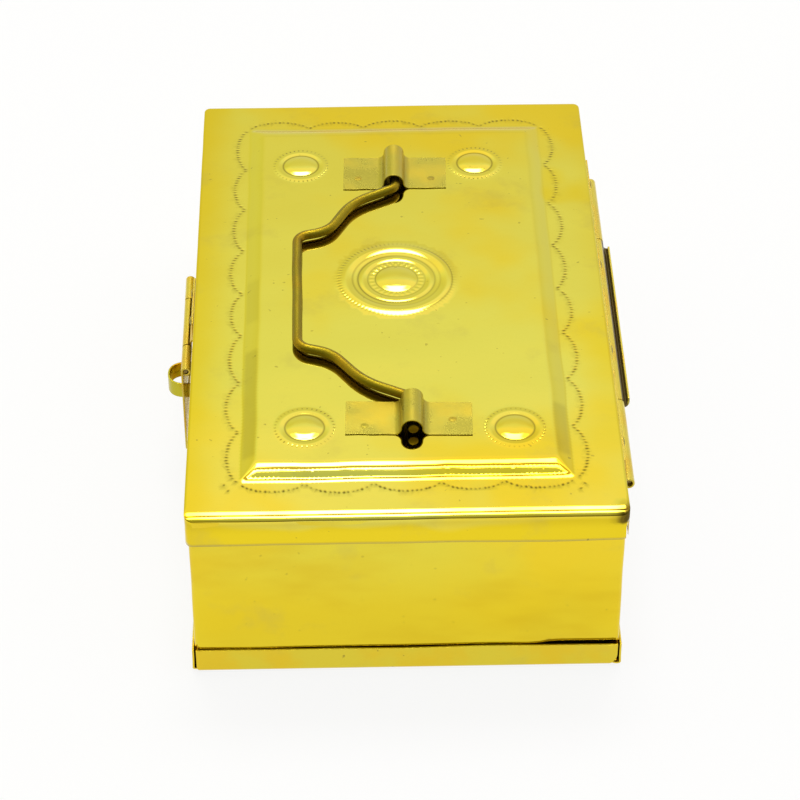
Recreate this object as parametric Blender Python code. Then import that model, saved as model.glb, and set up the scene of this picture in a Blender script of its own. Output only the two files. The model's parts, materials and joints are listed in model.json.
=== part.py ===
"""Lidded sheet-brass donation box with a drop handle, a strip hinge and a hasp over a staple.

Metres, +Z up. The origin is the centre of the base's underside. The hinge is on +X, the
hasp on -X, and the long way of the box is Y. Every dimension below is in millimetres and
is multiplied by MM when the mesh is made.
"""
import bpy
import bmesh
import math
from mathutils import Matrix, Vector
from mathutils.geometry import delaunay_2d_cdt

MM = 0.001

# Sheet and overall size
T = 0.7                                  # sheet thickness of body, tray, lid and fittings
BOX_X, BOX_Y = 152.0, 250.0              # outside of the lid flange and of the base tray
RIM_Z = 72.0                             # top of the lid's flat margin
FLANGE_Z = 60.2                          # lower edge of the lid flange
LIP_Z = 10.5                             # top of the base tray's lips
GAP = 0.3                                # clearance between pieces that touch in life
EDGE_R = 2.4                             # outside radius of the rolled lid edge

# Raised field on the lid
FIELD_AT = (0.5, 1.5)                    # its centre
FIELD_OUT = (57.5, 106.9)                # half sizes at the foot of the bevel
FIELD_IN = (52.0, 99.4)                  # half sizes at the top of the bevel
FIELD_Z = 75.6                           # top of the raised field

# Pressed ornament: centre, then (radius, height above the field) from rim to middle
MEDALLION = ((-0.8, 5.0), 40, (
    (22.6, 0.0), (20.9, 0.3), (19.2, 0.57), (17.6, 0.42), (16.0, 0.05), (14.3, -0.4),
    (12.9, -0.17), (12.3, -0.17), (10.4, -0.48), (9.9, -0.3), (8.7, -0.3), (8.1, -0.46),
    (6.9, -0.2), (4.8, 0.21), (2.4, 0.43), (0.0, 0.5)))
BOSS_RINGS = ((10.8, 0.0), (9.4, 0.28), (8.8, 0.3), (7.6, 0.05), (6.7, -0.1), (6.4, 0.0),
              (5.5, 0.42), (3.5, 1.07), (1.8, 1.36), (0.0, 1.45))
BOSSES = ((-34.9, -80.2), (38.8, -81.6), (-36.7, 79.2), (31.6, 79.6))

# Hinge on +X
HINGE_X, HINGE_Z = 78.45, 58.0
HINGE_R = 1.85                           # barrel radius to the middle of the sheet
HINGE_Y = (-93.5, 88.5)
KNUCKLE_Y = (-49.6, -49.2, 48.2, 48.6)   # near knuckle end, middle knuckle, far knuckle start
HINGE_PIN_R = 1.3
LID_LEAF_TOP, BODY_LEAF_LOW = 69.4, 43.0
HINGE_RIVET_Y = (-80.0, -28.0, 24.0, 76.0)
LID_RIVET_Z, BODY_RIVET_Z = 65.8, 47.0

# Hasp on -X
HASP_X, HASP_Z = -79.1, 58.0
HASP_R = 1.4
HASP_Y = (-27.6, 28.6)
HASP_KNUCKLE_Y = (-13.6, -13.2, 14.6, 15.0)
HASP_PIN_R = 0.85
HASP_LOW = 19.5
SLOT_Y, SLOT_Z = (-7.4, 8.4), (27.2, 36.0)
HASP_RIVET_Y, HASP_RIVET_Z = (-7.5, 8.9), 66.2

# Staple through the -X wall
STAPLE_T, STAPLE_W = 1.3, 6.6
STAPLE_Y, STAPLE_Z = 0.5, 31.6
STAPLE_LEG = 6.15                        # half distance between the legs' middles
STAPLE_NOSE = -87.35

# Handle and its two straps
WIRE_R = 1.85
PIVOT_X, PIVOT_Z, PIVOT_YAW = 1.35, 77.65, math.radians(1.15)
TUNNEL_R = 3.65
STRAPS = (                               # name, tunnel centre, turn, arm lengths, width
    ("handle_strap_near", (2.85, -77.3), -1.4, (23.4, 21.2), 18.6),
    ("handle_strap_far", (-0.35, 72.0), -1.2, (19.6, 20.4), 20.4))
STRAP_RIVETS = (
    ("strap_rivet_near_left", (-13.9, -81.6)), ("strap_rivet_near_right", (17.1, -78.2)),
    ("strap_rivet_far_left", (-14.4, 68.9)), ("strap_rivet_far_right", (14.1, 67.9)))

BRASS = {
    "sheet": ((0.80, 0.68, 0.20), 0.16),
    "body": ((0.78, 0.66, 0.18), 0.20),
    "tray": ((0.72, 0.60, 0.17), 0.28),
    "strip": ((0.66, 0.57, 0.22), 0.32),
    "wire": ((0.50, 0.41, 0.14), 0.36),
    "pin": ((0.42, 0.35, 0.15), 0.42),
    "rivet": ((0.62, 0.52, 0.18), 0.34),
}

for old in list(bpy.data.objects):
    bpy.data.objects.remove(old, do_unlink=True)


# ------------------------------------------------------------------ helpers

def brass(name, tone):
    """A Principled BSDF material of its own for one named piece."""
    colour, rough = BRASS[tone]
    mat = bpy.data.materials.new(name)
    mat.use_nodes = True
    bsdf = mat.node_tree.nodes["Principled BSDF"]
    bsdf.inputs["Base Color"].default_value = (*colour, 1.0)
    bsdf.inputs["Metallic"].default_value = 1.0
    bsdf.inputs["Roughness"].default_value = rough
    return mat


def axis_empty(name, x, y, z, yaw=0.0, parent=None):
    """An empty on a joint's axis; its children move with that joint."""
    empty = bpy.data.objects.new(name, None)
    bpy.context.collection.objects.link(empty)
    world = Matrix.Translation(Vector((x, y, z)) * MM) @ Matrix.Rotation(yaw, 4, "Z")
    if parent is not None:
        empty.parent = parent
        empty.matrix_basis = placed[parent.name].inverted() @ world
    else:
        empty.matrix_basis = world
    placed[name] = world
    return empty


def make(name, verts, faces, tone, parent=None, frame=None, smooth=30.0):
    """One closed mesh object from points in millimetres, in the world or in frame's axes."""
    mesh = bpy.data.meshes.new(name)
    mesh.from_pydata([tuple(c * MM for c in v) for v in verts], [], faces)
    if frame is not None:
        mesh.transform(frame)
    if parent is not None:
        mesh.transform(placed[parent.name].inverted())
    bm = bmesh.new()
    bm.from_mesh(mesh)
    bmesh.ops.recalc_face_normals(bm, faces=bm.faces)
    bm.to_mesh(mesh)
    bm.free()
    mesh.polygons.foreach_set("use_smooth", [True] * len(mesh.polygons))
    mesh.set_sharp_from_angle(angle=math.radians(smooth))
    obj = bpy.data.objects.new(name, mesh)
    bpy.context.collection.objects.link(obj)
    if tone is None:
        obj.hide_render = True
        obj.display_type = "WIRE"
    else:
        mesh.materials.append(brass(name, tone))
    obj.parent = parent
    return obj


def cut(obj, cutter):
    """Take cutter out of obj with an exact Boolean."""
    mod = obj.modifiers.new(cutter.name, "BOOLEAN")
    mod.operation = "DIFFERENCE"
    mod.solver = "EXACT"
    mod.object = cutter


def arc(cx, cz, r, a0, a1, n):
    """n + 1 points on a circle from angle a0 to a1, in degrees."""
    return [(cx + r * math.cos(math.radians(a0 + (a1 - a0) * i / n)),
             cz + r * math.sin(math.radians(a0 + (a1 - a0) * i / n))) for i in range(n + 1)]


def filleted(points, radii, n=6):
    """A polyline whose inner corners are replaced by arcs of the given radii."""
    out = [Vector(points[0])]
    for before, here, after, r in zip(points, points[1:], points[2:], radii):
        p, a, b = Vector(here), Vector(before), Vector(after)
        u, v = (a - p).normalized(), (b - p).normalized()
        half = u.angle(v) / 2.0
        reach = r / math.tan(half)
        centre = p + (u + v).normalized() * (r / math.sin(half))
        start, end = p + u * reach, p + v * reach
        s, e = start - centre, end - centre
        turn = s.angle(e)
        for i in range(n + 1):
            k = i / n
            out.append(centre + (s * math.sin((1 - k) * turn) + e * math.sin(k * turn))
                       / math.sin(turn))
    out.append(Vector(points[-1]))
    return [tuple(q) for q in out]


def offsets(path, t):
    """The two sides of a band of thickness t about a 2-D polyline."""
    left, right = [], []
    for i, p in enumerate(path):
        p = Vector(p)
        d0 = (p - Vector(path[i - 1])).normalized() if i else None
        d1 = (Vector(path[i + 1]) - p).normalized() if i + 1 < len(path) else None
        d0, d1 = d0 or d1, d1 or d0
        mean = (d0 + d1).normalized()
        normal = Vector((-mean.y, mean.x)) / max(mean.dot(d0), 0.3)
        left.append(p + normal * (t / 2))
        right.append(p - normal * (t / 2))
    return left, right


def band(path, t, stations, to_xyz, keep=lambda i, j: True):
    """A bent strip: path points (i) by width stations (j), without the cells not kept.

    stations(i) gives the widths across path point i. Returns vertices and faces.
    """
    left, right = offsets(path, t)
    rows = [stations(i) for i in range(len(path))]
    m = len(rows[0])
    verts = [to_xyz(side[i], rows[i][j]) for side in (left, right)
             for i in range(len(path)) for j in range(m)]
    base = len(path) * m

    def at(side, i, j):
        return side * base + i * m + j

    cells = {(i, j) for i in range(len(path) - 1) for j in range(m - 1) if keep(i, j)}
    faces = []
    for i, j in cells:
        corners = ((i, j), (i + 1, j), (i + 1, j + 1), (i, j + 1))
        faces.append([at(0, *c) for c in corners])
        faces.append([at(1, *c) for c in reversed(corners)])
        neighbours = ((i, j - 1), (i + 1, j), (i, j + 1), (i - 1, j))
        for k, other in enumerate(neighbours):
            if other not in cells:
                a, b = corners[k], corners[(k + 1) % 4]
                faces.append([at(0, *b), at(0, *a), at(1, *a), at(1, *b)])
    used = sorted({v for f in faces for v in f})
    index = {v: k for k, v in enumerate(used)}
    return [verts[v] for v in used], [[index[v] for v in f] for f in faces]


def round_edges(obj, corners, radius, axis, n=4):
    """Round the through-thickness edges nearest the given points, in world millimetres."""
    mesh = obj.data
    world = placed[obj.parent.name] if obj.parent else Matrix.Identity(4)
    bm = bmesh.new()
    bm.from_mesh(mesh)
    others = [k for k in range(3) if k != axis]
    picked = []
    for edge in bm.edges:
        a, b = (world @ v.co / MM for v in edge.verts)
        if abs(a[axis] - b[axis]) < 0.3 or any(abs(a[k] - b[k]) > 0.01 for k in others):
            continue
        if any(all(abs(a[k] - c) < 0.05 for k, c in zip(others, q)) for q in corners):
            picked.append(edge)
    bmesh.ops.bevel(bm, geom=picked, offset=radius * MM, segments=n, profile=0.5,
                    affect="EDGES")
    bm.to_mesh(mesh)
    bm.free()
    mesh.polygons.foreach_set("use_smooth", [True] * len(mesh.polygons))
    mesh.set_sharp_from_angle(angle=math.radians(30.0))


def lathe(profile, centre, axis, n=24):
    """Vertices and faces of a solid turned about axis; profile is (radius, height) pairs."""
    spin = Vector(axis).to_track_quat("Z", "X").to_matrix()
    verts, faces, rings = [], [], []
    for r, h in profile:
        if r == 0.0:
            rings.append([len(verts)])
            verts.append(spin @ Vector((0, 0, h)) + Vector(centre))
            continue
        rings.append(list(range(len(verts), len(verts) + n)))
        verts += [spin @ Vector((r * math.cos(a), r * math.sin(a), h)) + Vector(centre)
                  for a in (2 * math.pi * k / n for k in range(n))]
    for lo, hi in zip(rings, rings[1:]):
        for k in range(n):
            k2 = (k + 1) % n
            if len(lo) == 1:
                faces.append((lo[0], hi[k2], hi[k]))
            elif len(hi) == 1:
                faces.append((lo[k], lo[k2], hi[0]))
            else:
                faces.append((lo[k], lo[k2], hi[k2], hi[k]))
    return verts, faces


def merged(parts):
    """Several vertex and face lists as one."""
    verts, faces = [], []
    for v, f in parts:
        faces += [[k + len(verts) for k in face] for face in f]
        verts += v
    return verts, faces


def rods(places, r, axis, length):
    """Cutter cylinders of radius r through each place along axis."""
    profile = ((0.0, -length / 2), (r, -length / 2), (r, length / 2), (0.0, length / 2))
    return merged([lathe(profile, place, axis) for place in places])


def block(lo, hi):
    """Vertices and faces of a box."""
    verts = [(x, y, z) for x in (lo[0], hi[0]) for y in (lo[1], hi[1]) for z in (lo[2], hi[2])]
    return verts, [(0, 1, 3, 2), (4, 6, 7, 5), (0, 4, 5, 1), (2, 3, 7, 6), (0, 2, 6, 4),
                   (1, 5, 7, 3)]


def rounded_rect(hx, hy, r, n=4):
    """Corner-rounded rectangle, anticlockwise from +X."""
    pts = []
    for sx, sy, a in ((1, 1, 0), (-1, 1, 90), (-1, -1, 180), (1, -1, 270)):
        pts += arc(sx * (hx - r), sy * (hy - r), r, a, a + 90, n)
    return pts


def across_x(point, y):
    """A path point (x, z) and a width station along Y."""
    return (point[0], y, point[1])


# ------------------------------------------------------------------ body and base

placed = {}


def tray_mesh():
    """Mid-surface of one sheet: a floor with four folded lips and open corners."""
    r = 1.3
    sides = (((1, 0), (0, 1), BOX_X, BOX_Y / 2 - 0.4), ((0, 1), (-1, 0), BOX_Y, BOX_X / 2 - 1.4),
             ((-1, 0), (0, -1), BOX_X, BOX_Y / 2 - 0.4), ((0, -1), (1, 0), BOX_Y, BOX_X / 2 - 1.4))
    verts, faces, floor = [], [], []
    for out, along, full, half in sides:
        reach = full / 2 - T / 2
        rows = [(reach - r + r * math.sin(a), T / 2 + r - r * math.cos(a), half - 2.2)
                for a in (math.radians(22.5 * k) for k in range(5))]
        rows += [(reach, z, half - short)
                 for z, short in ((2.1, 1.4), (2.9, 0.7), (3.9, 0.2), (5.0, 0.0), (LIP_Z, 0.0))]
        floor += [len(verts), len(verts) + 1]
        for k in range(len(rows) - 1):
            a = len(verts) + 2 * k
            faces.append((a, a + 1, a + 3, a + 2))
        for reach_k, z, half_k in rows:
            for s in (-1, 1):
                verts.append((out[0] * reach_k + along[0] * half_k * s,
                              out[1] * reach_k + along[1] * half_k * s, z))
    return verts, faces + [tuple(floor)]


base_tray = make("base_tray", *tray_mesh(), "tray")
shell = base_tray.modifiers.new("sheet", "SOLIDIFY")
shell.thickness = T * MM
shell.offset = 0.0
shell.use_even_offset = True

# The body is one band folded round and lapped inside the far wall.
BODY_X, BODY_Y = BOX_X / 2 - T - GAP, BOX_Y / 2 - T - GAP
BODY_Z = (T + GAP, RIM_Z - 2.0)           # its top edge meets the lid's rolled edge inside
LAP = (-4.0, 6.0)
outer = rounded_rect(BODY_X, BODY_Y, 2.0)
inner = rounded_rect(BODY_X - T, BODY_Y - T, 1.3)
n_ring = len(outer)
lap_at = n_ring // 4                     # the far wall's straight run starts here
lap_y = BODY_Y - T
lap = [(LAP[1], lap_y), (LAP[1], lap_y - T), (LAP[0], lap_y - T), (LAP[0], lap_y)]


def body_mesh():
    """Outer and inner outlines joined by end rings, with the lap as a step on the inside."""
    verts, faces = [], []
    for z in BODY_Z:
        verts += [(x, y, z) for x, y in outer] + [(x, y, z) for x, y in inner]
        verts += [(x, y, z) for x, y in lap]
    m = 2 * n_ring + 4
    loop_out = list(range(n_ring))
    loop_in = list(range(n_ring, 2 * n_ring))
    step = list(range(2 * n_ring, m))
    loop_in = loop_in[:lap_at] + step + loop_in[lap_at:]
    for loop in (loop_out, loop_in):
        for a, b in zip(loop, loop[1:] + loop[:1]):
            faces.append((a, b, b + m, a + m))
    for low in (0, m):
        for k in range(n_ring):
            a, b = k, (k + 1) % n_ring
            if b == lap_at:
                faces.append([low + v for v in (a, b, n_ring + b, step[3], step[0], n_ring + a)])
                faces.append([low + v for v in step])
            else:
                faces.append([low + v for v in (a, b, n_ring + b, n_ring + a)])
    return verts, faces


body_walls = make("body_walls", *body_mesh(), "body")

# ------------------------------------------------------------------ lid

lid_axis = axis_empty("lid_hinge_axis", HINGE_X, 0, HINGE_Z)


def plan_height(x, y):
    """Height of the lid's top sheet: flat margin, bevel, raised field and pressed ornament."""
    slope = max((abs(x - FIELD_AT[0]) - FIELD_IN[0]) / (FIELD_OUT[0] - FIELD_IN[0]),
                (abs(y - FIELD_AT[1]) - FIELD_IN[1]) / (FIELD_OUT[1] - FIELD_IN[1]))
    z = FIELD_Z - (FIELD_Z - RIM_Z) * min(max(slope, 0.0), 1.0)
    spots = [(MEDALLION[0], MEDALLION[2])] + [(c, BOSS_RINGS) for c in BOSSES]
    for (cx, cy), rings in spots:
        r = math.hypot(x - cx, y - cy)
        for (r1, h1), (r0, h0) in zip(rings, rings[1:]):
            if r0 <= r <= r1:
                z += h0 + (h1 - h0) * (r - r0) / (r1 - r0)
    return z


def lid_mesh():
    """Top and bottom sheets over one triangulated plan, with rolled edges and a flange."""
    rim = rounded_rect(BOX_X / 2 - EDGE_R, BOX_Y / 2 - EDGE_R, 0.6)
    n = len(rim)
    plan = [Vector(p) for p in rim]
    edges = [(k, (k + 1) % n) for k in range(n)]

    def closed(points):
        first = len(plan)
        plan.extend(Vector(p) for p in points)
        edges.extend((first + k, first + (k + 1) % len(points)) for k in range(len(points)))

    for hx, hy in (FIELD_OUT, FIELD_IN):
        closed([(FIELD_AT[0] + sx * hx, FIELD_AT[1] + sy * hy)
                for sx, sy in ((1, 1), (-1, 1), (-1, -1), (1, -1))])
    for (cx, cy), seg, rings in [MEDALLION] + [(c, 24, BOSS_RINGS) for c in BOSSES]:
        for r, _ in rings:
            if r:
                closed(arc(cx, cy, r, 0, 360, seg)[:-1])
            else:
                plan.append(Vector((cx, cy)))
    found, _, tris, source, _, _ = delaunay_2d_cdt(plan, edges, [], 1, 1e-5)
    home = {s: k for k, src in enumerate(source) for s in src}
    tops = [(p.x, p.y, plan_height(p.x, p.y)) for p in found]
    count = len(tops)
    verts = tops + [(x, y, z - T) for x, y, z in tops]
    faces = [tuple(t) for t in tris] + [tuple(count + k for k in reversed(t)) for t in tris]

    def skirt(first, r, low):
        """Loops from the rim over a rolled edge of radius r and down to low."""
        last = [home[k] + first for k in range(n)]
        loops = [last]
        z_top = RIM_Z if first == 0 else RIM_Z - T
        steps = [(r * math.sin(a), z_top - r + r * math.cos(a))
                 for a in (math.radians(18 * k) for k in range(1, 6))] + [(r, low)]
        for out, z in steps:
            ring = rounded_rect(BOX_X / 2 - EDGE_R + out, BOX_Y / 2 - EDGE_R + out, 0.6 + out)
            start = len(verts)
            verts.extend((x, y, z) for x, y in ring)
            loops.append(list(range(start, start + n)))
        return loops

    outside, inside = skirt(0, EDGE_R, FLANGE_Z), skirt(count, EDGE_R - T, FLANGE_Z)
    for loops in (outside, inside):
        for a, b in zip(loops, loops[1:]):
            faces += [(a[k], a[(k + 1) % n], b[(k + 1) % n], b[k]) for k in range(n)]
    a, b = outside[-1], inside[-1]
    faces += [(a[k], a[(k + 1) % n], b[(k + 1) % n], b[k]) for k in range(n)]
    return verts, faces


lid = make("lid", *lid_mesh(), "sheet", parent=lid_axis, smooth=20.0)

# The near right corner of the flange is slit open below the rolled edge.
corner_slit = make("corner_slit", *block(
    (BOX_X / 2 - T - 0.8, -BOX_Y / 2 - 1, FLANGE_Z - 1),
    (BOX_X / 2 - T, -BOX_Y / 2 + 1.6, RIM_Z - EDGE_R)), None)
cut(lid, corner_slit)

# ------------------------------------------------------------------ strip hinge on +X

LEAF_X = HINGE_X - HINGE_R               # middle of a leaf where it meets the barrel


def ends(y0, y1):
    """Width stations that are the same all along a path."""
    return lambda i: (y0, y1)


lid_leaf_path = [(LEAF_X, LID_LEAF_TOP), (LEAF_X, HINGE_Z + 2.9)] \
    + arc(HINGE_X, HINGE_Z, HINGE_R, 180, 478, 20)
hinge_lid_leaf = make("hinge_lid_leaf", *band(
    lid_leaf_path, T,
    lambda i: (HINGE_Y[0], KNUCKLE_Y[0], KNUCKLE_Y[3], HINGE_Y[1]), across_x,
    keep=lambda i, j: i == 0 or j != 1), "strip", parent=lid_axis)

BODY_LEAF_X = BODY_X + GAP + T / 2
TROUGH_R = 1.15
trough_x = HINGE_X + HINGE_R + TROUGH_R
body_leaf_path = [(BODY_LEAF_X, BODY_LEAF_LOW), (BODY_LEAF_X, 52.6)]
body_leaf_path += filleted([(BODY_LEAF_X, 53.2), (BODY_LEAF_X, 53.9), (LEAF_X, 55.3),
                            (LEAF_X, 56.6)], (0.8, 0.8), 3)
body_leaf_path += arc(HINGE_X, HINGE_Z, HINGE_R, 180, 0, 12)
body_leaf_path += arc(trough_x, 56.9, TROUGH_R, 180, 360, 8) + [(trough_x + TROUGH_R, 58.0)]
trough_start = len(body_leaf_path) - 10


def body_leaf_stations(i):
    """The folded-out lip of the middle knuckle is cut back and rounded at both ends."""
    k = max(0, i - trough_start) / 10
    back = 3.6 * k ** 1.6
    return (HINGE_Y[0], KNUCKLE_Y[1] + back, KNUCKLE_Y[2] - 0.7 * back, HINGE_Y[1])


hinge_body_leaf = make("hinge_body_leaf", *band(
    body_leaf_path, T, body_leaf_stations, across_x,
    keep=lambda i, j: i == 0 or j == 1), "strip")

hinge_pin = make("hinge_pin", *lathe(
    ((0, HINGE_Y[0] + 1.2), (HINGE_PIN_R - 0.2, HINGE_Y[0] + 1.2),
     (HINGE_PIN_R, HINGE_Y[0] + 1.5), (HINGE_PIN_R, HINGE_Y[1] - 1.1),
     (HINGE_PIN_R - 0.2, HINGE_Y[1] - 0.8), (0, HINGE_Y[1] - 0.8)),
    (HINGE_X, 0, HINGE_Z), (0, 1, 0), 20), "pin")

# ------------------------------------------------------------------ hasp on -X

hasp_axis = axis_empty("hasp_axis", HASP_X, 0, HASP_Z, parent=lid_axis)
FLANGE_LEAF_X = -(BOX_X / 2 + 0.25 + T / 2)
hasp_leaf_path = [(FLANGE_LEAF_X, LID_LEAF_TOP)] + filleted(
    [(FLANGE_LEAF_X, 62.9), (FLANGE_LEAF_X, 61.7), (HASP_X + HASP_R, 60.2),
     (HASP_X + HASP_R, 59.2)], (0.8, 0.8), 3) + arc(HASP_X, HASP_Z, HASP_R, 0, -290, 18)
hasp_lid_leaf = make("hasp_lid_leaf", *band(
    hasp_leaf_path, T, ends(HASP_KNUCKLE_Y[1], HASP_KNUCKLE_Y[2]), across_x),
    "strip", parent=lid_axis)

PLATE_X = HASP_X - HASP_R
plate_path = [(PLATE_X, z) for z in (HASP_LOW, *SLOT_Z, 55.4)]
plate_path += arc(HASP_X, HASP_Z, HASP_R, 180, -112, 18)
plate_stations = (HASP_Y[0], HASP_KNUCKLE_Y[0], *SLOT_Y, HASP_KNUCKLE_Y[3], HASP_Y[1])


def plate_cells(i, j):
    """The slot is open, and above the plate only the two outer knuckles go on."""
    if i == 1:
        return j != 2
    return i < 3 or j in (0, 4)


hasp_plate = make("hasp_plate", *band(
    plate_path, T, lambda i: plate_stations, across_x, keep=plate_cells),
    "strip", parent=hasp_axis)
round_edges(hasp_plate, [(y, HASP_LOW) for y in HASP_Y], 2.5, 0)

hasp_pin = make("hasp_pin", *lathe(
    ((0, HASP_Y[0] + 0.3), (HASP_PIN_R - 0.15, HASP_Y[0] + 0.3),
     (HASP_PIN_R, HASP_Y[0] + 0.5), (HASP_PIN_R, HASP_Y[1] - 0.5),
     (HASP_PIN_R - 0.15, HASP_Y[1] - 0.3), (0, HASP_Y[1] - 0.3)),
    (HASP_X, 0, HASP_Z), (0, 1, 0), 16), "pin", parent=lid_axis)

# The staple's legs go through slits in the body wall and are clinched flat inside.
tail_x = -(BODY_X - T) + GAP + STAPLE_T / 2
leg_lo, leg_hi = STAPLE_Y - STAPLE_LEG, STAPLE_Y + STAPLE_LEG
staple_path = filleted(
    [(tail_x, leg_lo - 6.5), (tail_x, leg_lo), (STAPLE_NOSE, leg_lo), (STAPLE_NOSE, leg_hi),
     (tail_x, leg_hi), (tail_x, leg_hi + 6.5)], (1.1, 3.2, 3.2, 1.1), 6)
staple = make("staple", *band(
    staple_path, STAPLE_T, ends(STAPLE_Z - STAPLE_W / 2, STAPLE_Z + STAPLE_W / 2),
    lambda p, z: (p[0], p[1], z)), "strip")
staple_slits = make("staple_slits", *merged([block(
    (-BODY_X - 1, y - 0.95, STAPLE_Z - STAPLE_W / 2 - GAP),
    (-BODY_X + T + 1, y + 0.95, STAPLE_Z + STAPLE_W / 2 + GAP)) for y in (leg_lo, leg_hi)]),
    None)
cut(body_walls, staple_slits)

# ------------------------------------------------------------------ handle and straps

handle_axis = axis_empty("handle_axis", PIVOT_X, 0, PIVOT_Z, PIVOT_YAW, parent=lid_axis)


def handle_mesh():
    """Bent wire in the pivot's own axes: stubs along Y, ogee arms, shoulders and a grip."""
    flat = filleted(
        [(0, -86.3), (0, -66.9), (-16.5, -57.8), (-27.4, -41.4), (-39.7, -37.0),
         (-38.7, 29.7), (-26.8, 32.8), (-17.4, 50.6), (0, 60.2), (0, 81.0)],
        (4.0, 30.0, 16.0, 6.5, 5.0, 12.0, 26.0, 4.0), 7)
    path = [Vector((x, y, 0)) for x, y in flat]
    verts, faces, n = [], [], 16
    rings = [(0, 0.75, 0.0), (0, 1.0, 0.35)] + [(k, 1.0, 0.0) for k in range(1, len(path) - 1)]
    rings += [(len(path) - 1, 1.0, -0.35), (len(path) - 1, 0.75, 0.0)]
    for k, scale, shift in rings:
        before, after = path[max(k - 1, 0)], path[min(k + 1, len(path) - 1)]
        along = ((path[k] - before).normalized() + (after - path[k]).normalized()).normalized()
        side = Vector((0, 0, 1)).cross(along)
        for a in (2 * math.pi * s / n for s in range(n)):
            spoke = side * math.cos(a) + Vector((0, 0, 1)) * math.sin(a)
            verts.append(path[k] + along * shift + spoke * (WIRE_R * scale))
    for r in range(len(rings) - 1):
        faces += [(r * n + s, r * n + (s + 1) % n, (r + 1) * n + (s + 1) % n, (r + 1) * n + s)
                  for s in range(n)]
    faces += [tuple(reversed(range(n))), tuple(range(len(verts) - n, len(verts)))]
    return verts, faces


handle = make("handle", *handle_mesh(), "wire", parent=handle_axis,
              frame=placed["handle_axis"], smooth=50)


def strap_mesh(arms, width):
    """An omega of sheet in its own axes: two flat arms and a round tunnel between them."""
    flat_z, centre_z, fillet = 0.2 + T / 2, 3.0, 1.6
    foot = TUNNEL_R + fillet
    path = [(-arms[0], flat_z)] + arc(-foot, flat_z + fillet, fillet, 270, 360, 5)
    path += arc(0, centre_z, TUNNEL_R, 180, 0, 14)
    path += arc(foot, flat_z + fillet, fillet, 180, 270, 5) + [(arms[1], flat_z)]
    return band(path, T, ends(-width / 2, width / 2), across_x)


straps = {}
for name, (sx, sy), turn, arms, width in STRAPS:
    spot = Matrix.Translation(Vector((sx, sy, FIELD_Z)) * MM) \
        @ Matrix.Rotation(math.radians(turn), 4, "Z")
    straps[name] = make(name, *strap_mesh(arms, width), "strip", parent=lid_axis, frame=spot)

# ------------------------------------------------------------------ rivets


def rivet(name, place, axis, profile, parent):
    """A headed rivet; profile runs from its tail to the top of its head."""
    return make(name, *lathe(profile, place, axis, 20), "rivet", parent=parent)


def holes(obj, name, places, r, axis, length):
    """Clearance holes for rivets."""
    cut(obj, make(name, *rods(places, r, axis, length), None))


SHANK, HOLE = 1.0, 1.2
strap_places = [(x, y, FIELD_Z) for _, (x, y) in STRAP_RIVETS]
for name, (x, y) in STRAP_RIVETS:
    rivet(name, (x, y, FIELD_Z), (0, 0, 1),
          ((0, -1.9), (1.1, -1.75), (1.6, -1.3), (1.6, -0.9), (SHANK, -0.9), (SHANK, 1.05),
           (1.45, 1.05), (1.45, 1.2), (1.2, 1.45), (0.6, 1.6), (0, 1.65)), lid_axis)
for end, strap in (("near", straps["handle_strap_near"]), ("far", straps["handle_strap_far"])):
    holes(strap, f"strap_{end}_holes", [p for p in strap_places if (p[1] < 0) == (end == "near")],
          HOLE, (0, 0, 1), 4)
holes(lid, "lid_strap_holes", strap_places, HOLE, (0, 0, 1), 6)

# Round heads outside; through the lid flange the tails are peened flush so the body clears.
FLUSH = ((0, -T), (SHANK, -T), (SHANK, T + 0.4), (1.7, T + 0.4), (1.6, T + 0.8),
         (1.0, T + 1.1), (0, T + 1.2))
lid_leaf_rivets = [(f"hinge_lid_rivet_{k + 1}", (BOX_X / 2, y, LID_RIVET_Z))
                   for k, y in enumerate(HINGE_RIVET_Y)]
for name, place in lid_leaf_rivets:
    rivet(name, place, (1, 0, 0), FLUSH, lid_axis)
hasp_leaf_rivets = [(f"hasp_lid_rivet_{k + 1}", (-BOX_X / 2, y, HASP_RIVET_Z))
                    for k, y in enumerate(HASP_RIVET_Y)]
for name, place in hasp_leaf_rivets:
    rivet(name, place, (-1, 0, 0), FLUSH, lid_axis)
DOMED = ((0, -T - 1.1), (1.0, -T - 1.0), (1.6, -T - 0.5), (1.6, -T - 0.2), (SHANK, -T - 0.2),
         (SHANK, T + 0.45), (1.7, T + 0.45), (1.6, T + 0.85), (1.0, T + 1.15), (0, T + 1.25))
body_leaf_rivets = [(f"hinge_body_rivet_{k + 1}", (BODY_X, y, BODY_RIVET_Z))
                    for k, y in enumerate(HINGE_RIVET_Y)]
for name, place in body_leaf_rivets:
    rivet(name, place, (1, 0, 0), DOMED, None)

for obj, name, group in ((hinge_lid_leaf, "lid_leaf_holes", lid_leaf_rivets),
                         (hinge_body_leaf, "body_leaf_holes", body_leaf_rivets),
                         (hasp_lid_leaf, "hasp_leaf_holes", hasp_leaf_rivets),
                         (lid, "flange_holes", lid_leaf_rivets + hasp_leaf_rivets),
                         (body_walls, "body_wall_holes", body_leaf_rivets)):
    holes(obj, name, [place for _, place in group], HOLE, (1, 0, 0), 6)
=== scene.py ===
"""Looks for the sheet-brass donation box: fine repousse sheet, wire handle, straps, hinge, hasp.

Lengths below are in millimetres in the frame's axes and are multiplied by MM when a mesh is
made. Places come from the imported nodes' boxes. The side towards the camera is -Y.
"""
import json
import math

import bpy
import bmesh
import numpy as np
from mathutils import Matrix, Vector
from mathutils.geometry import delaunay_2d_cdt

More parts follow.
